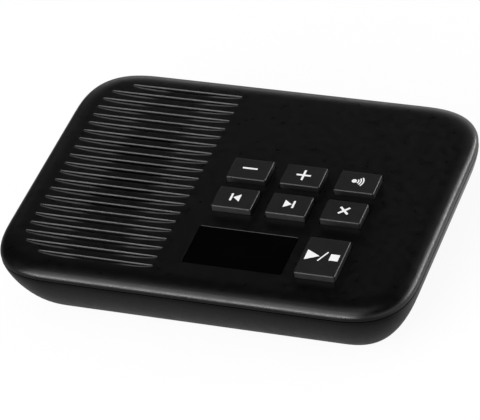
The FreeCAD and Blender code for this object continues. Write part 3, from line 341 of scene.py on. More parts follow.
# One finish for each slot
MATERIALS = {
    "case_top": grained("satin_black", (0.0016, 0.0016, 0.0017), 0.32, 0.45, 0.03, mirror=0.35),
    "case_bottom": grained("smooth_black", (0.002, 0.002, 0.0021), 0.26, 0.35, 0.003, mirror=0.2),
    "foot_rubber": grained("soft_rubber", (0.02, 0.02, 0.02), 0.8, 0.5, 0.03),
    "keycap": grained("key_plastic", (0.0045, 0.0045, 0.0047), 0.46, 0.25, 0.008),
    "legend_print": grained("white_print", (0.86, 0.86, 0.86), 0.5, 0.2, 0.004, contrast=0.03),
    "silicone": grained("silicone_grey", (0.35, 0.36, 0.38), 0.55, 0.4, 0.01),
    "window_gloss": grained("smoked_window", (0.0008, 0.0008, 0.0009), 0.06, 6.0, 0.001, spread=0.02),
    "display_case": grained("display_body", (0.75, 0.76, 0.74), 0.5, 0.5, 0.01, contrast=0.05),
    "display_bars": grained("display_bars", (0.55, 0.05, 0.03), 0.35, 0.3, 0.005),
    "circuit_board": grained("green_board", (0.015, 0.11, 0.04), 0.4, 0.5, 0.01),
    "chip_case": grained("chip_body", (0.012, 0.012, 0.013), 0.6, 0.2, 0.01),
    "tinned_steel": metal("tinned_steel", (0.62, 0.62, 0.6), 0.3, 0.6, 0.006),
    "capacitor_sleeve": grained("capacitor_sleeve", (0.02, 0.03, 0.09), 0.3, 0.8, 0.005),
    "core_steel": metal("core_laminate", (0.3, 0.29, 0.27), 0.45, 0.3, 0.02, contrast=0.25),
    "winding_tape": grained("winding_tape", (0.55, 0.38, 0.06), 0.4, 1.0, 0.01),
    "socket_plastic": grained("socket_black", (0.012, 0.012, 0.013), 0.45, 0.4, 0.01),
    "contact_gold": metal("contact_gold", (0.83, 0.6, 0.24), 0.22, 0.4, 0.003, contrast=0.06),
    "basket_steel": metal("basket_steel", (0.5, 0.5, 0.5), 0.35, 0.7, 0.008),
    "ferrite": grained("ferrite", (0.03, 0.03, 0.032), 0.55, 0.5, 0.02),
    "motor_steel": metal("zinc_steel", (0.58, 0.58, 0.6), 0.32, 0.8, 0.006),
    "cone_paper": grained("cone_paper", (0.035, 0.033, 0.03), 0.85, 0.4, 0.06),
    "surround_rubber": grained("surround_rubber", (0.015, 0.015, 0.015), 0.6, 0.6, 0.01),
    "spider_cloth": grained("spider_cloth", (0.45, 0.3, 0.09), 0.8, 0.5, 0.05),
    "coil_copper": metal("coil_copper", (0.72, 0.33, 0.15), 0.3, 0.3, 0.01, contrast=0.25),
    "gasket_foam": grained("gasket_foam", (0.03, 0.03, 0.03), 0.95, 0.5, 0.08),
    "terminal_board": grained("terminal_board", (0.3, 0.17, 0.07), 0.55, 0.6, 0.01),
    "connector_nylon": grained("connector_nylon", (0.78, 0.75, 0.66), 0.45, 0.6, 0.008, contrast=0.05),
    "wire_sleeve": grained("wire_sleeve", (0.4, 0.02, 0.02), 0.4, 0.8, 0.004),
    "screw_steel": metal("screw_steel", (0.55, 0.54, 0.52), 0.28, 0.5, 0.006),
}


def paint_cad_nodes():
    """Every node of the frame gets the finish of its slot; the ones modelled here are replaced later."""
    for entry in frame["record"]["subparts"]:
        item = frame["nodes"][entry["node"]]
        item.data.materials.clear()
        item.data.materials.append(MATERIALS[entry["material_slot"]])


# The case outline

def case_outline(inset, z):
    """The plan outline moved in by inset, from the right side round through the back."""
    radius = CORNER_RADIUS - inset
    share = 2 / CORNER_POWER
    ring = []
    for quarter in range(4):
        across = 1 if quarter in (0, 3) else -1
        along = 1 if quarter in (0, 1) else -1
        turns = range(CORNER_STEPS + 1) if quarter % 2 == 0 else range(CORNER_STEPS, -1, -1)
        for step in turns:
            turn = math.pi / 2 * step / CORNER_STEPS
            x = HALF_WIDE - CORNER_RADIUS + radius * max(math.cos(turn), 0) ** share
            y = HALF_DEEP - CORNER_RADIUS + radius * max(math.sin(turn), 0) ** share
            ring.append((across * x, along * y, z))
    return ring


def roll_off():
    """Insets and levels of the rounded upper edge, from the parting line up to the flat top."""
    share = 2 / EDGE_POWER
    for step in range(PROFILE_STEPS + 1):
        turn = math.pi / 2 * (1 - step / PROFILE_STEPS)
        inset = EDGE_RUN * (1 - math.sin(turn) ** share)
        drop = EDGE_DROP * (1 - max(math.cos(turn), 0) ** share)
        yield inset, TOP_Z - drop


def flank(wall, top_z, low_z):
    """Insets and levels of the tapered lower shape, from its top down to its flat floor."""
    share = 2 / FLANK_POWER
    for step in range(PROFILE_STEPS + 1):
        turn = math.pi / 2 * step / PROFILE_STEPS
        inset = FLANK_RUN * (1 - max(math.cos(turn), 0) ** share)
        drop = (top_z - low_z) * math.sin(turn) ** share
        yield wall + inset, top_z - drop


# The grille

GRILLE_LEFT = -65.08
GRILLE_RIGHT = -15.08
GRILLE_CORNER = 12.0
GRILLE_MARGIN = 0.5
GROOVE_PITCH = 4.61
GROOVE_COUNT = 21
GROOVE_STEPS = 48
GROOVE_TIP_REACH = 0.7
GROOVE_FAR = 0.55
GROOVE_WIDTH = 2.35
LAST_GROOVE_WIDTH = 2.0
GROOVE_TIP_WIDTH = 0.5
GROOVE_DEPTH = 0.8
GROOVE_TIP_DEPTH = 0.1

# The grooves' rounded tips
TAPER_POWER = 3.5
TAPER_ROOT = 0.6
TAPER_DEEPENING = 3

# The far lip: its height, the most of the groove's depth that it takes, how steep it is, its eased corners,
# and how far the cutter runs out above it
GROOVE_LIP = 0.46
GROOVE_LIP_SHARE = 0.85
GROOVE_LIP_STEEP = 1.96
LIP_EASE = 0.03
LIP_BRIM = 0.01
LIP_BRIM_RISE = 0.02
LIP_RUN_OUT = 0.4

# The near bevel: its width and slope in degrees, what both gain near the ends, where that sets in,
# its eased corners, and how far the cutter runs out above it
BEVEL_WIDTH = 0.6
BEVEL_WIDENING = 0.75
BEVEL_SHARE = 0.6
BEVEL_SLOPE = 3.0
BEVEL_STEEPENING = 11.0
CALM_MIDDLE = 0.53
CALM_HALF = 0.13
CALM_FADE = 0.15
BEVEL_SILL = 0.05
BEVEL_LOW_EASE = 0.93
BEVEL_EASE = 0.12
BEVEL_BRIM_RISE = 0.012
BEVEL_RUN_OUT = 0.9

# The slits over the loudspeaker lie in the grooves, between these distances from the far wall
SOUND_RADIUS = 20.75
SOUND_SHARE = 0.95
SLIT_END_WALL = 1.0
SLIT_FAR = 0.03
SLIT_NEAR = 0.52
SLIT_TOP_DROP = 0.5


def groove_lines():
    """Each groove's left tip and its middle line, from the back to the front."""
    half_count = (GROOVE_COUNT - 1) / 2
    bend_y = half_count * GROOVE_PITCH + GRILLE_MARGIN - GRILLE_CORNER
    for number in range(GROOVE_COUNT):
        y = (half_count - number) * GROOVE_PITCH
        past = max(abs(y) - bend_y, 0)
        indent = GRILLE_CORNER - math.sqrt(max(GRILLE_CORNER ** 2 - past ** 2, 0))
        yield GRILLE_LEFT + indent, y


def groove_ring(x, along, far_y, widest):
    """One cross-section of a groove; along is 0 at its left tip and 1 at its right end.

    It has a round far lip, a channel, and a near bevel that is wider and steeper near the ends.
    """
    bulge = max(1 - abs(2 * along - 1) ** TAPER_POWER, 0) ** TAPER_ROOT
    wide = GROOVE_TIP_WIDTH + (widest - GROOVE_TIP_WIDTH) * bulge
    near_end = min(max((abs(along - CALM_MIDDLE) - CALM_HALF) / CALM_FADE, 0), 1)
    bevel = min(BEVEL_WIDTH + BEVEL_WIDENING * near_end, wide * BEVEL_SHARE)
    slope = math.tan(math.radians(BEVEL_SLOPE + BEVEL_STEEPENING * near_end))
    near_y = far_y - wide
    deepening = (GROOVE_DEPTH - GROOVE_TIP_DEPTH) * min(1.0, TAPER_DEEPENING * bulge)
    low = TOP_Z - bevel * slope - GROOVE_TIP_DEPTH - deepening
    drop = min(GROOVE_LIP, (TOP_Z - low) * GROOVE_LIP_SHARE)
    run = drop / GROOVE_LIP_STEEP
    # From above the far lip down into the channel, and up over the bevel
    return [
        (x, far_y + run + LIP_RUN_OUT, TOP_Z + ABOVE),
        (x, far_y + run + LIP_BRIM, TOP_Z + LIP_BRIM_RISE),
        (x, far_y + run * LIP_EASE, TOP_Z - drop * (1 - LIP_EASE)),
        (x, far_y, TOP_Z - drop),
        (x, far_y, low),
        (x, near_y + bevel, low),
        (x, near_y + bevel, TOP_Z - bevel * slope - BEVEL_SILL),
        (x, near_y + bevel * BEVEL_LOW_EASE, TOP_Z - bevel * slope * BEVEL_LOW_EASE),
        (x, near_y + bevel * BEVEL_EASE, TOP_Z - bevel * slope * BEVEL_EASE),
        (x, near_y - bevel * BEVEL_EASE, TOP_Z + BEVEL_BRIM_RISE),
        (x, near_y - BEVEL_RUN_OUT, TOP_Z + ABOVE),
    ]


def groove_mesh(left, right, far_y, widest):
    """A cutter for one groove, from its left tip to its right end."""
    rings = []
    for step in range(GROOVE_STEPS + 1):
        along = 0.5 - 0.5 * math.cos(math.pi * step / GROOVE_STEPS)
        rings.append(groove_ring(left + (right - left) * along, along, far_y, widest))
    return loft(rings)


def groove_cutters():
    """All grooves; the front one is narrower."""
    parts = []
    for number, (left, y) in enumerate(groove_lines()):
        widest = LAST_GROOVE_WIDTH if number == GROOVE_COUNT - 1 else GROOVE_WIDTH
        parts.append(groove_mesh(left - GROOVE_TIP_REACH, GRILLE_RIGHT, y + GROOVE_FAR, widest))
    return parts


def slit_cutters():
    """The slits through the roof over the loudspeaker."""
    parts = []
    for _, y in groove_lines():
        if abs(y) > SOUND_RADIUS * SOUND_SHARE:
            continue
        half = math.sqrt(SOUND_RADIUS ** 2 - y ** 2) - SLIT_END_WALL
        far_y = y + GROOVE_FAR
        low = (SPEAKER_X - half, far_y - SLIT_NEAR, CEILING_Z - PAST)
        high = (SPEAKER_X + half, far_y - SLIT_FAR, TOP_Z - SLIT_TOP_DROP)
        parts.append(box_mesh(low, high))
    return parts


# The upper shell

KEY_CLEARANCE = 0.3
KEY_FLANGE = 1.0
KEY_OPENING_CORNER = 0.4
KEY_OPENING_LIP = 0.1
KEYS = {
    "key_volume_down": "minus",
    "key_volume_up": "plus",
    "key_paging": "paging",
    "key_previous": "previous",
    "key_next": "next",
    "key_delete": "cross",
    "key_play_stop": "play_stop",
}

# The round lip of an opening: steps out and down as shares of the lip, and how the cutter goes on above it
OPENING_ROUND = ((0.0, 1.0), (0.13, 0.5), (0.5, 0.13))
OPENING_RISE = 0.001
OPENING_SPREAD = 3

WINDOW_FIT = 0.15
WINDOW_OPENING_CORNER = 0.7
WINDOW_LIP = 0.05
WINDOW_BACK_LIP = 0.38
APERTURE_HALF_WIDE = 11.5
APERTURE_HALF_DEEP = 6.5
APERTURE_OVERLAP = 0.3

SCREW_X = 58.3
SCREW_Y = 37.0
SCREW_SPOTS = [(SCREW_X * a, SCREW_Y * b) for a in (-1, 1) for b in (-1, 1)]
BOARD_LOW, BOARD_HIGH = node_box("main_board")
BOARD_EDGE = 3.0
BOARD_BACK_EDGE = 4.0
# The board's fourth boss goes up through the keypad mat
MAT_BOSS_SPOT = (46.835, -19.3)
BOARD_SPOTS = (
    (BOARD_LOW.x + BOARD_EDGE, BOARD_HIGH.y - BOARD_BACK_EDGE),
    (BOARD_HIGH.x - BOARD_EDGE, BOARD_HIGH.y - BOARD_BACK_EDGE),
    (BOARD_LOW.x + BOARD_EDGE, BOARD_LOW.y + BOARD_EDGE),
    MAT_BOSS_SPOT,
)
SPEAKER_X = middle_of(*node_box("speaker_frame"))[0]
SPEAKER_BOLTS = 26.9
SPEAKER_TURNS = [math.radians(angle) for angle in (90, 210, 330)]
SPEAKER_SPOTS = [
    (SPEAKER_X + SPEAKER_BOLTS * math.cos(turn), SPEAKER_BOLTS * math.sin(turn)) for turn in SPEAKER_TURNS
]

# Each post's radius and foot; all reach a little into the roof
SCREW_BOSS_RADIUS = 3.2
SCREW_BOSS_Z = 9.2
BOARD_BOSS_RADIUS = 2.3
SPEAKER_BOSS_RADIUS = 1.75
SPEAKER_BOSS_Z = 23.05
BOSS_OVERLAP = 0.3

# Rings of a curved wall that lie closer than this to the parting line give way to its soft edge
SOFT_EDGE_ROOM = 0.1


def flared_opening(low, high, radius, low_z, lip, back_lip):
    """A cutter for an opening in the top face, with a small round lip that can be wider at the back."""
    deep = max(lip, back_lip)

    def ring(share, z):
        out = share * lip
        back = high[1] + share * back_lip
        return rounded_ring((low[0] - out, low[1] - out), (high[0] + out, back), radius + out, z)

    rings = [ring(0, low_z)]
    rings += [ring(out, TOP_Z - deep * down) for out, down in OPENING_ROUND]
    rings += [ring(1, TOP_Z + OPENING_RISE), ring(OPENING_SPREAD, TOP_Z + ABOVE)]
    return loft(rings)


def key_plan(node):
    """The cap's low and high corners without its flange."""
    return grown(*node_box(node), -KEY_FLANGE)


def opening_cutters():
    """The openings for the keys and the recess for the window."""
    parts = []
    for node in KEYS:
        low, high = grown(*key_plan(node), KEY_CLEARANCE)
        lip = KEY_OPENING_LIP
        parts.append(flared_opening(low, high, KEY_OPENING_CORNER, CEILING_Z - PAST, lip, lip))
    window_low, window_high = node_box("display_window")
    low, high = grown(window_low, window_high, WINDOW_FIT)
    parts.append(
        flared_opening(low, high, WINDOW_OPENING_CORNER, window_low.z, WINDOW_LIP, WINDOW_BACK_LIP))
    return parts


def window_aperture():
    """The hole through the floor of the window's recess, over the counter."""
    low, high = node_box("display_window")
    x, y = middle_of(low, high)
    return box_mesh(
        (x - APERTURE_HALF_WIDE, y - APERTURE_HALF_DEEP, CEILING_Z - PAST),
        (x + APERTURE_HALF_WIDE, y + APERTURE_HALF_DEEP, low.z + APERTURE_OVERLAP))


def post(radius, low_z, high_z, spot):
    """An upright round post or hole."""
    return turned([(radius, low_z), (radius, high_z)], spot)


def boss_meshes():
    """The posts under the roof that the screws, the board and the loudspeaker hold to."""
    top = CEILING_Z + BOSS_OVERLAP
    parts = [post(SCREW_BOSS_RADIUS, SCREW_BOSS_Z, top, spot) for spot in SCREW_SPOTS]
    parts += [post(BOARD_BOSS_RADIUS, BOARD_HIGH.z, top, spot) for spot in BOARD_SPOTS]
    parts += [post(SPEAKER_BOSS_RADIUS, SPEAKER_BOSS_Z, top, spot) for spot in SPEAKER_SPOTS]
    return parts


def make_top_shell():
    """The upper case, from its ceiling down round the rim and up to the top face, then its cuts."""
    rings = [case_outline(CAVITY_INSET, CEILING_Z), case_outline(CAVITY_INSET, RABBET_Z)]
    rings += [case_outline(RIM, RABBET_Z), case_outline(RIM, PARTING_Z)]
    rings += [case_outline(SOFT_EDGE, PARTING_Z)]
    rings += [case_outline(inset, z) for inset, z in roll_off() if z > PARTING_Z + SOFT_EDGE_ROOM]
    shell = make_object("upper_case", loft(rings))
    combine(shell, make_object("openings", *opening_cutters()))
    combine(shell, make_object("aperture", window_aperture()))
    combine(shell, make_object("grooves", *groove_cutters()))
    combine(shell, make_object("slits", *slit_cutters()))
    combine(shell, make_object("bosses", *boss_meshes()), "UNION")
    settle(shell, "case", "case_top")
    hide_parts("top_shell")


# The lower shell

FEET = ("foot_front_left", "foot_front_right", "foot_back_left", "foot_back_right")
BAY_FIT = 0.1

HEAD_RADIUS = 3.1
HEAD_MOUTH = 3.35
HEAD_FLARE = 0.25
HEAD_SEAT_Z = 5.5
SHANK_RADIUS = 1.6
SHANK_TOP_Z = 10.0
PILLAR_RADIUS = 3.6
PILLAR_TOP_Z = 9.0
PILLAR_FOOT = 1.0
FOOT_WELL_RADIUS = 5.1

VENT_COUNT = 9
VENT_PITCH = 3.6
VENT_START = 12.0
VENT_HALF = 11.0
VENT_SLOT_HALF = 0.8
VENT_CORNER = 0.75

HANGER_X = 40.0
HANGER_Y = 20.0
HANGER_RADIUS = 4.0
HANGER_SLOT_HALF = 2.1
HANGER_SLOT_LONG = 10.1
HANGER_SLOT_CORNER = 2.05


def tray_mesh():
    """The lower case as one closed shell, with the lip that stands inside the upper case."""
    lip_low = TRAY_TOP_Z - LIP_ROOT_DROP
    lip_inner = LIP_INSET + LIP_THICK
    inside = reversed(list(flank(FLANK_WALL, TRAY_TOP_Z, FLOOR_Z)))
    outside = flank(0, TRAY_TOP_Z, STAND_Z)
    rings = [case_outline(inset, z) for inset, z in inside if z < lip_low]
    rings += [case_outline(lip_inner, lip_low), case_outline(lip_inner, LIP_TOP_Z)]
    rings += [case_outline(LIP_INSET, LIP_TOP_Z), case_outline(LIP_INSET, TRAY_TOP_Z)]
    rings += [case_outline(SOFT_EDGE, TRAY_TOP_Z)]
    rings += [case_outline(inset, z) for inset, z in outside if z < TRAY_TOP_Z - SOFT_EDGE_ROOM]
    return loft(rings)


def bay_notch():
    """Room for the socket bay, which is a piece of its own."""
    low, high = node_box("socket_bay")
    return box_mesh(
        (low.x - BAY_FIT, low.y - BAY_FIT, STAND_Z - PAST),
        (high.x + BAY_FIT, HALF_DEEP + PAST, high.z + BAY_FIT))


def screw_holes():
    """Each screw's wide well from below and the narrow hole above its seat."""
    profile = [(HEAD_MOUTH, STAND_Z - PAST), (HEAD_RADIUS, STAND_Z + HEAD_FLARE)]
    profile += [(HEAD_RADIUS, HEAD_SEAT_Z), (SHANK_RADIUS, HEAD_SEAT_Z), (SHANK_RADIUS, SHANK_TOP_Z)]
    return [turned(profile, spot) for spot in SCREW_SPOTS]


def foot_wells():
    """The shallow wells that the feet are stuck into."""
    wells = []
    for node in FEET:
        low, high = node_box(node)
        profile = [(FOOT_WELL_RADIUS, STAND_Z - PAST), (FOOT_WELL_RADIUS, high.z)]
        wells.append(turned(profile, middle_of(low, high), FINE_STEPS))
    return wells


def through_floor(low, high, radius):
    """A cutter with round corners through the floor of the lower case."""
    return loft([rounded_ring(low, high, radius, z) for z in (STAND_Z - PAST, FLOOR_Z + PAST)])


def vent_cutters():
    """The row of cooling slots under the board."""
    x = middle_of(BOARD_LOW, BOARD_HIGH)[0]
    parts = []
    for number in range(VENT_COUNT):
        y = BOARD_LOW.y + VENT_START + VENT_PITCH * number
        low, high = (x - VENT_HALF, y - VENT_SLOT_HALF), (x + VENT_HALF, y + VENT_SLOT_HALF)
        parts.append(through_floor(low, high, VENT_CORNER))
    return parts


def hanger_cutters():
    """The wide holes of the two keyholes for hanging, and their slots, cut one after the other."""
    holes, slots = [], []
    for x in (-HANGER_X, HANGER_X):
        profile = [(HANGER_RADIUS, STAND_Z - PAST), (HANGER_RADIUS, FLOOR_Z + PAST)]
        holes.append(turned(profile, (x, HANGER_Y), FINE_STEPS))
        low = (x - HANGER_SLOT_HALF, HANGER_Y)
        high = (x + HANGER_SLOT_HALF, HANGER_Y + HANGER_SLOT_LONG)
        slots.append(through_floor(low, high, HANGER_SLOT_CORNER))
    return holes, slots


def make_bottom_shell():
    """The lower case with its screw pillars, and everything that is cut from it."""
    shell = make_object("lower_case", tray_mesh())
    combine(shell, make_object("notch", bay_notch()))
    pillars = [post(PILLAR_RADIUS, STAND_Z + PILLAR_FOOT, PILLAR_TOP_Z, spot) for spot in SCREW_SPOTS]
    combine(shell, make_object("pillars", *pillars), "UNION")
    holes, slots = hanger_cutters()
    combine(shell, make_object("holes", *screw_holes(), *foot_wells(), *vent_cutters(), *holes))
    combine(shell, make_object("slots", *slots))
    settle(shell, "case", "case_bottom")
    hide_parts("bottom_shell")


# Keys

KEY_CORNER = 0.5
LEAST_CORNER = 0.3
KEY_WALL = 1.2
KEY_FLANGE_THICK = 1.0
PLUNGER_RADIUS = 2.0
PLUNGER_BELOW = 0.9
PRINT_THICK = 0.03

# The cap's soft upper edge: steps in and down from its sharp corner, as shares of the edge's size
KEY_EDGE = 0.33
KEY_EDGE_STEPS = ((0.0, 1.1), (0.04, 0.86), (0.16, 0.64), (0.66, 0.12), (0.84, 0.03), (1.05, 0.0))


def make_key(node):
    """A cap that is hollow from below, with a plunger in its middle and a flange round its foot."""
    low, high = key_plan(node)
    box_low, box_high = node_box(node)
    top = box_high.z - PRINT_THICK
    inside_z = top - KEY_WALL
    flange_z = box_low.z + PLUNGER_BELOW
    flange_top_z = flange_z + KEY_FLANGE_THICK
    x, y = middle_of(low, high)

    def ring(out, z):
        return rounded_ring(*grown(low, high, out), max(KEY_CORNER + out, LEAST_CORNER), z)

    def round_ring(z):
        radius = PLUNGER_RADIUS
        turns = [math.atan2(point[1] - y, point[0] - x) for point in ring(0, 0)]
        return [(x + radius * math.cos(turn), y + radius * math.sin(turn), z) for turn in turns]

    rings = [round_ring(box_low.z), round_ring(inside_z)]
    rings += [ring(-KEY_WALL, inside_z), ring(-KEY_WALL, flange_z)]
    rings += [ring(KEY_FLANGE, flange_z), ring(KEY_FLANGE, flange_top_z), ring(0, flange_top_z)]
    rings += [ring(-KEY_EDGE * inward, top - KEY_EDGE * down) for inward, down in KEY_EDGE_STEPS]
    key = make_object(node.replace("key", "cap"), loft(rings))
    settle(key, node, "keycap")
    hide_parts(node)


# Printed key legends

PRINT_SINK = 0.01
PRINT_BELOW_BOX = 0.001
BAR_CORNER = 0.12
BAR_CORNER_STEPS = 3
ARC_STEPS = 16
DOT_STEPS = 32


def plate(outline, z):
    """A thin print with the given outline."""
    low_z = z - PRINT_THICK - PRINT_SINK
    return loft([[(x, y, level) for x, y in outline] for level in (low_z, z)])


def bar(start, end, wide):
    """A straight stroke with softly rounded ends."""
    length = math.hypot(end[0] - start[0], end[1] - start[1])
    along = ((end[0] - start[0]) / length, (end[1] - start[1]) / length)
    low, high = (-length / 2, -wide / 2), (length / 2, wide / 2)
    points = rounded_ring(low, high, BAR_CORNER, 0, BAR_CORNER_STEPS)
    x, y = middle_of(start, end)
    return [(x + p * along[0] - q * along[1], y + p * along[1] + q * along[0]) for p, q, _ in points]


def arc_stroke(centre, radius, half_angle, wide):
    """A stroke along a part of a circle, on its right side."""
    turns = [math.radians(half_angle) * (2 * step / ARC_STEPS - 1) for step in range(ARC_STEPS + 1)]

    def edge(reach):
        x, y = centre
        return [(x + reach * math.cos(turn), y + reach * math.sin(turn)) for turn in turns]

    return edge(radius + wide / 2) + edge(radius - wide / 2)[::-1]


def plus_outline(reach, wide):
    """An upright cross with arms of equal length."""
    half = wide / 2
    return [
        (-reach, -half), (-half, -half), (-half, -reach),
        (half, -reach), (half, -half), (reach, -half),
        (reach, half), (half, half), (half, reach),
        (-half, reach), (-half, half), (-reach, half),
    ]


def turn_outline(outline, angle):
    """An outline turned by an angle in degrees."""
    c, s = math.cos(math.radians(angle)), math.sin(math.radians(angle))
    return [(x * c - y * s, x * s + y * c) for x, y in outline]


def shifted(outline, across, along):
    """An outline moved to the right and towards the back."""
    return [(x + across, y + along) for x, y in outline]


PAGING_DOT = (-1.35, 0.34)
PAGING_ARCS = (1.55, 2.42, 3.29)

# The outlines of each legend's strokes, in millimetres from the middle of the key
LEGENDS = {
    "minus": [bar((-2.75, 0.3), (2.65, 0.3), 0.75)],
    "plus": [shifted(plus_outline(2.6, 0.78), 0, 0.15)],
    "paging": [
        circle(PAGING_DOT, 0.9, DOT_STEPS),
        *[arc_stroke(PAGING_DOT, radius, 38, 0.46) for radius in PAGING_ARCS],
    ],
    "previous": [
        bar((-1.45, -1.65), (-1.45, 2.05), 0.75),
        [(-0.75, 0.15), (1.75, -1.75), (1.75, 2.05)],
    ],
    "next": [
        bar((1.5, -1.65), (1.5, 2.05), 0.75),
        [(0.85, 0.15), (-1.9, 2.05), (-1.9, -1.75)],
    ],
    "cross": [shifted(turn_outline(plus_outline(2.35, 0.82), 45), 0, 0.3)],
    "play_stop": [
        [(-5.75, 2.65), (-5.75, -2.35), (-1.0, 0.15)],
        bar((1.4, 2.5), (-1.0, -2.25), 0.5),
        [(2.65, -1.4), (5.8, -1.4), (5.8, 1.75), (2.65, 1.75)],
    ],
}


def make_legend(node, symbol):
    """The print on a key, its top just below the top of the key's box."""
    x, y = middle_of(*key_plan(node))
    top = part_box(node)[1].z / MM - PRINT_BELOW_BOX
    strokes = [plate(shifted(outline, x, y), top) for outline in LEGENDS[symbol]]
    legend = make_object("legend_" + symbol, *strokes)
    settle(legend, node, "legend_print")


# The keypad mat

MAT_THICK = 0.8
MAT_BORDER = 2.0
MAT_CORNER = 1.2
MAT_BOSS_HOLE = 2.7
DOME_HEIGHT = 2.0
DOME_RIM_DROP = 0.45
DOME_FOOT = 4.4
DOME_SKIN = 0.6
RIM_SKIN = 0.45
SKIRT_ROOT = 0.3
SKIN_STEP = 0.1
CROWN_RADIUS = 2.3
CROWN_GAP = 0.15

# The crown's radius and depth under its top, from its foot up to its eased edge
CROWN_PROFILE = ((-0.2, 1.2), (0.0, 1.0), (0.0, 0.15), (-0.15, 0.0))


def mat_sheet(first, last, low_z, high_z):
    """A flat piece of the mat that reaches past two keys at opposite corners."""
    low, high = grown(key_plan(first)[0], key_plan(last)[1], MAT_BORDER)
    return loft([rounded_ring(low, high, MAT_CORNER, z) for z in (low_z, high_z)])


def make_mat():
    """The sheet with the domes' skirts; the crown of each dome goes down with its key."""
    top = node_box("keypad_mat")[1].z
    sheet_z = top - DOME_HEIGHT
    low_z = sheet_z - MAT_THICK
    rim_z = top - DOME_RIM_DROP
    spots = [middle_of(*key_plan(node)) for node in KEYS]
    hole = CROWN_RADIUS + CROWN_GAP
    inner = DOME_FOOT - DOME_SKIN
    skirt = [(DOME_FOOT, sheet_z - SKIRT_ROOT), (DOME_FOOT, sheet_z), (hole + RIM_SKIN, rim_z)]
    hollow = [(inner, low_z - PAST), (inner, sheet_z - SKIN_STEP)]
    hollow += [(hole, rim_z - SKIN_STEP), (hole, rim_z + PAST)]
    hollows = [turned(hollow, spot) for spot in spots]
    boss = post(MAT_BOSS_HOLE, low_z - PAST, sheet_z + PAST, MAT_BOSS_SPOT)
    mat = make_object("mat_sheet", mat_sheet("key_previous", "key_paging", low_z, sheet_z))
    combine(mat, make_object("tail", mat_sheet("key_play_stop", "key_delete", low_z, sheet_z)), "UNION")
    combine(mat, make_object("skirts", *[turned(skirt, spot) for spot in spots]), "UNION")
    combine(mat, make_object("hollows", *hollows, boss))
    settle(mat, "case", "silicone")
    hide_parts("keypad_mat")
    profile = [(CROWN_RADIUS + out, top - down) for out, down in CROWN_PROFILE]
    for node, spot in zip(KEYS, spots):
        crown = make_object(node.replace("key", "dome_crown"), turned(profile, spot))
        settle(crown, node, "silicone")


# Window and feet

WINDOW_CORNER = 0.6
WINDOW_CORNER_STEPS = 10
WINDOW_EDGE = 0.04
WINDOW_EDGE_STEP = 0.012

# A foot's radius and level, from the hollow under it round its edge; the last one goes up to the case
FOOT_RADIUS = 5.0
FOOT_PROFILE = ((3.4, 0.12), (3.7, 0.0), (4.6, 0.0), (4.88, 0.12), (FOOT_RADIUS, 0.4))


def make_window():
    """The glossy pane with a small eased edge."""
    low, high = node_box("display_window")

    def ring(out, z):
        return rounded_ring(*grown(low, high, out), WINDOW_CORNER + out, z, WINDOW_CORNER_STEPS)

    rings = [ring(0, low.z), ring(0, high.z - WINDOW_EDGE)]
    rings += [ring(-WINDOW_EDGE_STEP, high.z - WINDOW_EDGE_STEP), ring(-WINDOW_EDGE, high.z)]
    window = make_object("window_pane", loft(rings))
    settle(window, "case", "window_gloss")
    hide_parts("display_window")


def make_feet():
    """The four round rubber feet."""
    for node in FEET:
        low, high = node_box(node)
        profile = [*FOOT_PROFILE, (FOOT_RADIUS, high.z)]
        foot = make_object(node.replace("foot", "pad"), turned(profile, middle_of(low, high), FOOT_STEPS))
        settle(foot, "case", "foot_rubber")
        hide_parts(node)


# The floor; directions and places from here on are in metres

FLOOR_REACH = 3000.0
FLOOR_SHADE = 0.08
FLOOR_GLOW = 0.92
FLOOR_DIM = 0.2
FLOOR_BRIGHT = 0.75
FLOOR_WAY = (0.94, 0.34, 0.0)
FLOOR_FADE_START = 0.06
FLOOR_FADE_END = 0.09


def floor_material():
    """White to the camera with a soft shadow; in reflections dim, and bright past the right edge."""
    material = bpy.data.materials.new("paper_floor")
    material.use_nodes = True
    material.node_tree.nodes.remove(shader_of(material))
    matt = add_node(material, "ShaderNodeBsdfDiffuse")
    matt.inputs["Color"].default_value = (FLOOR_SHADE, FLOOR_SHADE, FLOOR_SHADE, 1)
    where = add_node(material, "ShaderNodeTexCoord")
    beside = along_way(material, where.outputs["Object"], FLOOR_WAY)
    card = between(material, beside, FLOOR_DIM, FLOOR_BRIGHT, FLOOR_FADE_START, FLOOR_FADE_END)
    path = add_node(material, "ShaderNodeLightPath")
    level = add_node(material, "ShaderNodeMath", operation="MULTIPLY_ADD")
    level.inputs[1].default_value = FLOOR_GLOW
    join(material, path.outputs["Is Camera Ray"], level.inputs[0])
    join(material, product(material, path.outputs["Is Glossy Ray"], card), level.inputs[2])
    glow = add_node(material, "ShaderNodeEmission")
    join(material, level.outputs[0], glow.inputs["Strength"])
    both = add_node(material, "ShaderNodeAddShader")
    join(material, matt.outputs[0], both.inputs[0])
    join(material, glow.outputs[0], both.inputs[1])
    join(material, both.outputs[0], material.node_tree.nodes["Material Output"].inputs["Surface"])
    return material


def make_floor():
    """A wide flat sheet under the feet."""
    corners = [(-FLOOR_REACH, -FLOOR_REACH, 0), (FLOOR_REACH, -FLOOR_REACH, 0)]
    corners += [(FLOOR_REACH, FLOOR_REACH, 0), (-FLOOR_REACH, FLOOR_REACH, 0)]
    floor = make_object("floor", (corners, [[0, 1, 2, 3]]))
    floor.data.transform(Matrix.Scale(MM, 4))
    floor.data.materials.append(floor_material())


# The world is white to the camera and lights softly; reflections show a glow low at the back right

CAMERA_WHITE = 1.0
SOFT_LIGHT = 0.68
GLOW_LEVEL = 1.7
DARK_LEVEL = 0.008
GLOW_WAY = (0.866, 0.5, 0.0)
GLOW_SIDE_START = -0.22
GLOW_SIDE_END = 0.02
GLOW_LOW = 0.2
GLOW_HIGH = 0.45


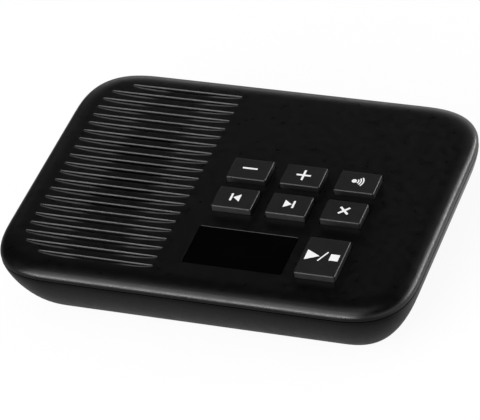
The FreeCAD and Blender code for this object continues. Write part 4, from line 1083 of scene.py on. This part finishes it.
def make_world():
    """The surround, with its own level for camera rays, reflections and all other light."""
    world = bpy.data.worlds.new("studio")
    bpy.context.scene.world = world
    world.use_nodes = True
    world.node_tree.nodes.clear()
    place = add_node(world, "ShaderNodeTexCoord").outputs["Generated"]
    split = add_node(world, "ShaderNodeSeparateXYZ")
    join(world, place, split.inputs[0])
    facing = along_way(world, place, GLOW_WAY)
    low = between(world, split.outputs["Z"], 1.0, 0.0, GLOW_LOW, GLOW_HIGH)
    side = between(world, facing, 0.0, 1.0, GLOW_SIDE_START, GLOW_SIDE_END)
    glow = between(world, product(world, low, side), DARK_LEVEL, GLOW_LEVEL, 0.0, 1.0)
    path = add_node(world, "ShaderNodeLightPath")
    plain = between(world, path.outputs["Is Camera Ray"], SOFT_LIGHT, CAMERA_WHITE, 0.0, 1.0)
    mix = add_node(world, "ShaderNodeMix")
    join(world, path.outputs["Is Glossy Ray"], mix.inputs["Factor"])
    join(world, plain, mix.inputs["A"])
    join(world, glow, mix.inputs["B"])
    back = add_node(world, "ShaderNodeBackground")
    out = add_node(world, "ShaderNodeOutputWorld")
    join(world, mix.outputs["Result"], back.inputs["Strength"])
    join(world, back.outputs[0], out.inputs["Surface"])


# Lamps and camera

# Each lamp's name, direction and elevation in degrees, width, height and level.
# One stack of lamps stands in front and one at the right.
LAMPS = (
    ("front_low", -109, 5, 1.3, 0.24, 19.0),
    ("front_middle", -109, 20, 1.2, 0.55, 6.0),
    ("front_high", -109, 46, 1.1, 0.8, 3.0),
    ("front_top", -109, 76, 0.9, 0.7, 1.0),
    ("right_low", 40, 4, 1.3, 0.2, 14.0),
    ("right_middle", 40, 18, 1.0, 0.4, 2.6),
    ("right_high", 66, 38, 0.7, 0.4, 0.3),
)
LAMP_DISTANCE = 1.6

CAMERA_PLACE = Vector((0.35828, -0.75461, 0.70522))
CAMERA_RIGHT = Vector((0.93594, 0.32738, -0.12982))
CAMERA_UP = Vector((-0.11800, 0.63882, 0.76024))
CAMERA_BACK = Vector((0.33182, -0.69622, 0.63652))
SENSOR_WIDTH = 36.0
LENS = 234.37


def make_softbox(name, direction, elevation, wide, high, level):
    """A soft lamp facing the middle of the case; direction 0 is at the right and 90 at the back."""
    turn, rise = math.radians(direction), math.radians(elevation)
    way = Vector((math.cos(turn) * math.cos(rise), math.sin(turn) * math.cos(rise), math.sin(rise)))
    lamp = bpy.data.lights.new(name, "AREA")
    lamp.shape = "RECTANGLE"
    lamp.size = wide
    lamp.size_y = high
    lamp.energy = level * math.pi * wide * high
    item = bpy.data.objects.new(name, lamp)
    item.location = way * LAMP_DISTANCE
    item.rotation_euler = way.to_track_quat("Z", "Y").to_euler()
    bpy.context.scene.collection.objects.link(item)


def make_camera():
    """The camera, from its place and its three axes."""
    data = bpy.data.cameras.new("camera")
    data.sensor_width = SENSOR_WIDTH
    data.lens = LENS
    item = bpy.data.objects.new("camera", data)
    rotation = Matrix((CAMERA_RIGHT, CAMERA_UP, CAMERA_BACK)).transposed().to_4x4()
    item.matrix_world = Matrix.Translation(CAMERA_PLACE) @ rotation
    bpy.context.scene.collection.objects.link(item)
    bpy.context.scene.camera = item


# Build

paint_cad_nodes()
make_top_shell()
make_bottom_shell()
for key_node, key_symbol in KEYS.items():
    make_key(key_node)
    make_legend(key_node, key_symbol)
make_mat()
make_window()
make_feet()
make_floor()
make_world()
for lamp in LAMPS:
    make_softbox(*lamp)
make_camera()
bpy.context.scene.view_settings.view_transform = "Standard"
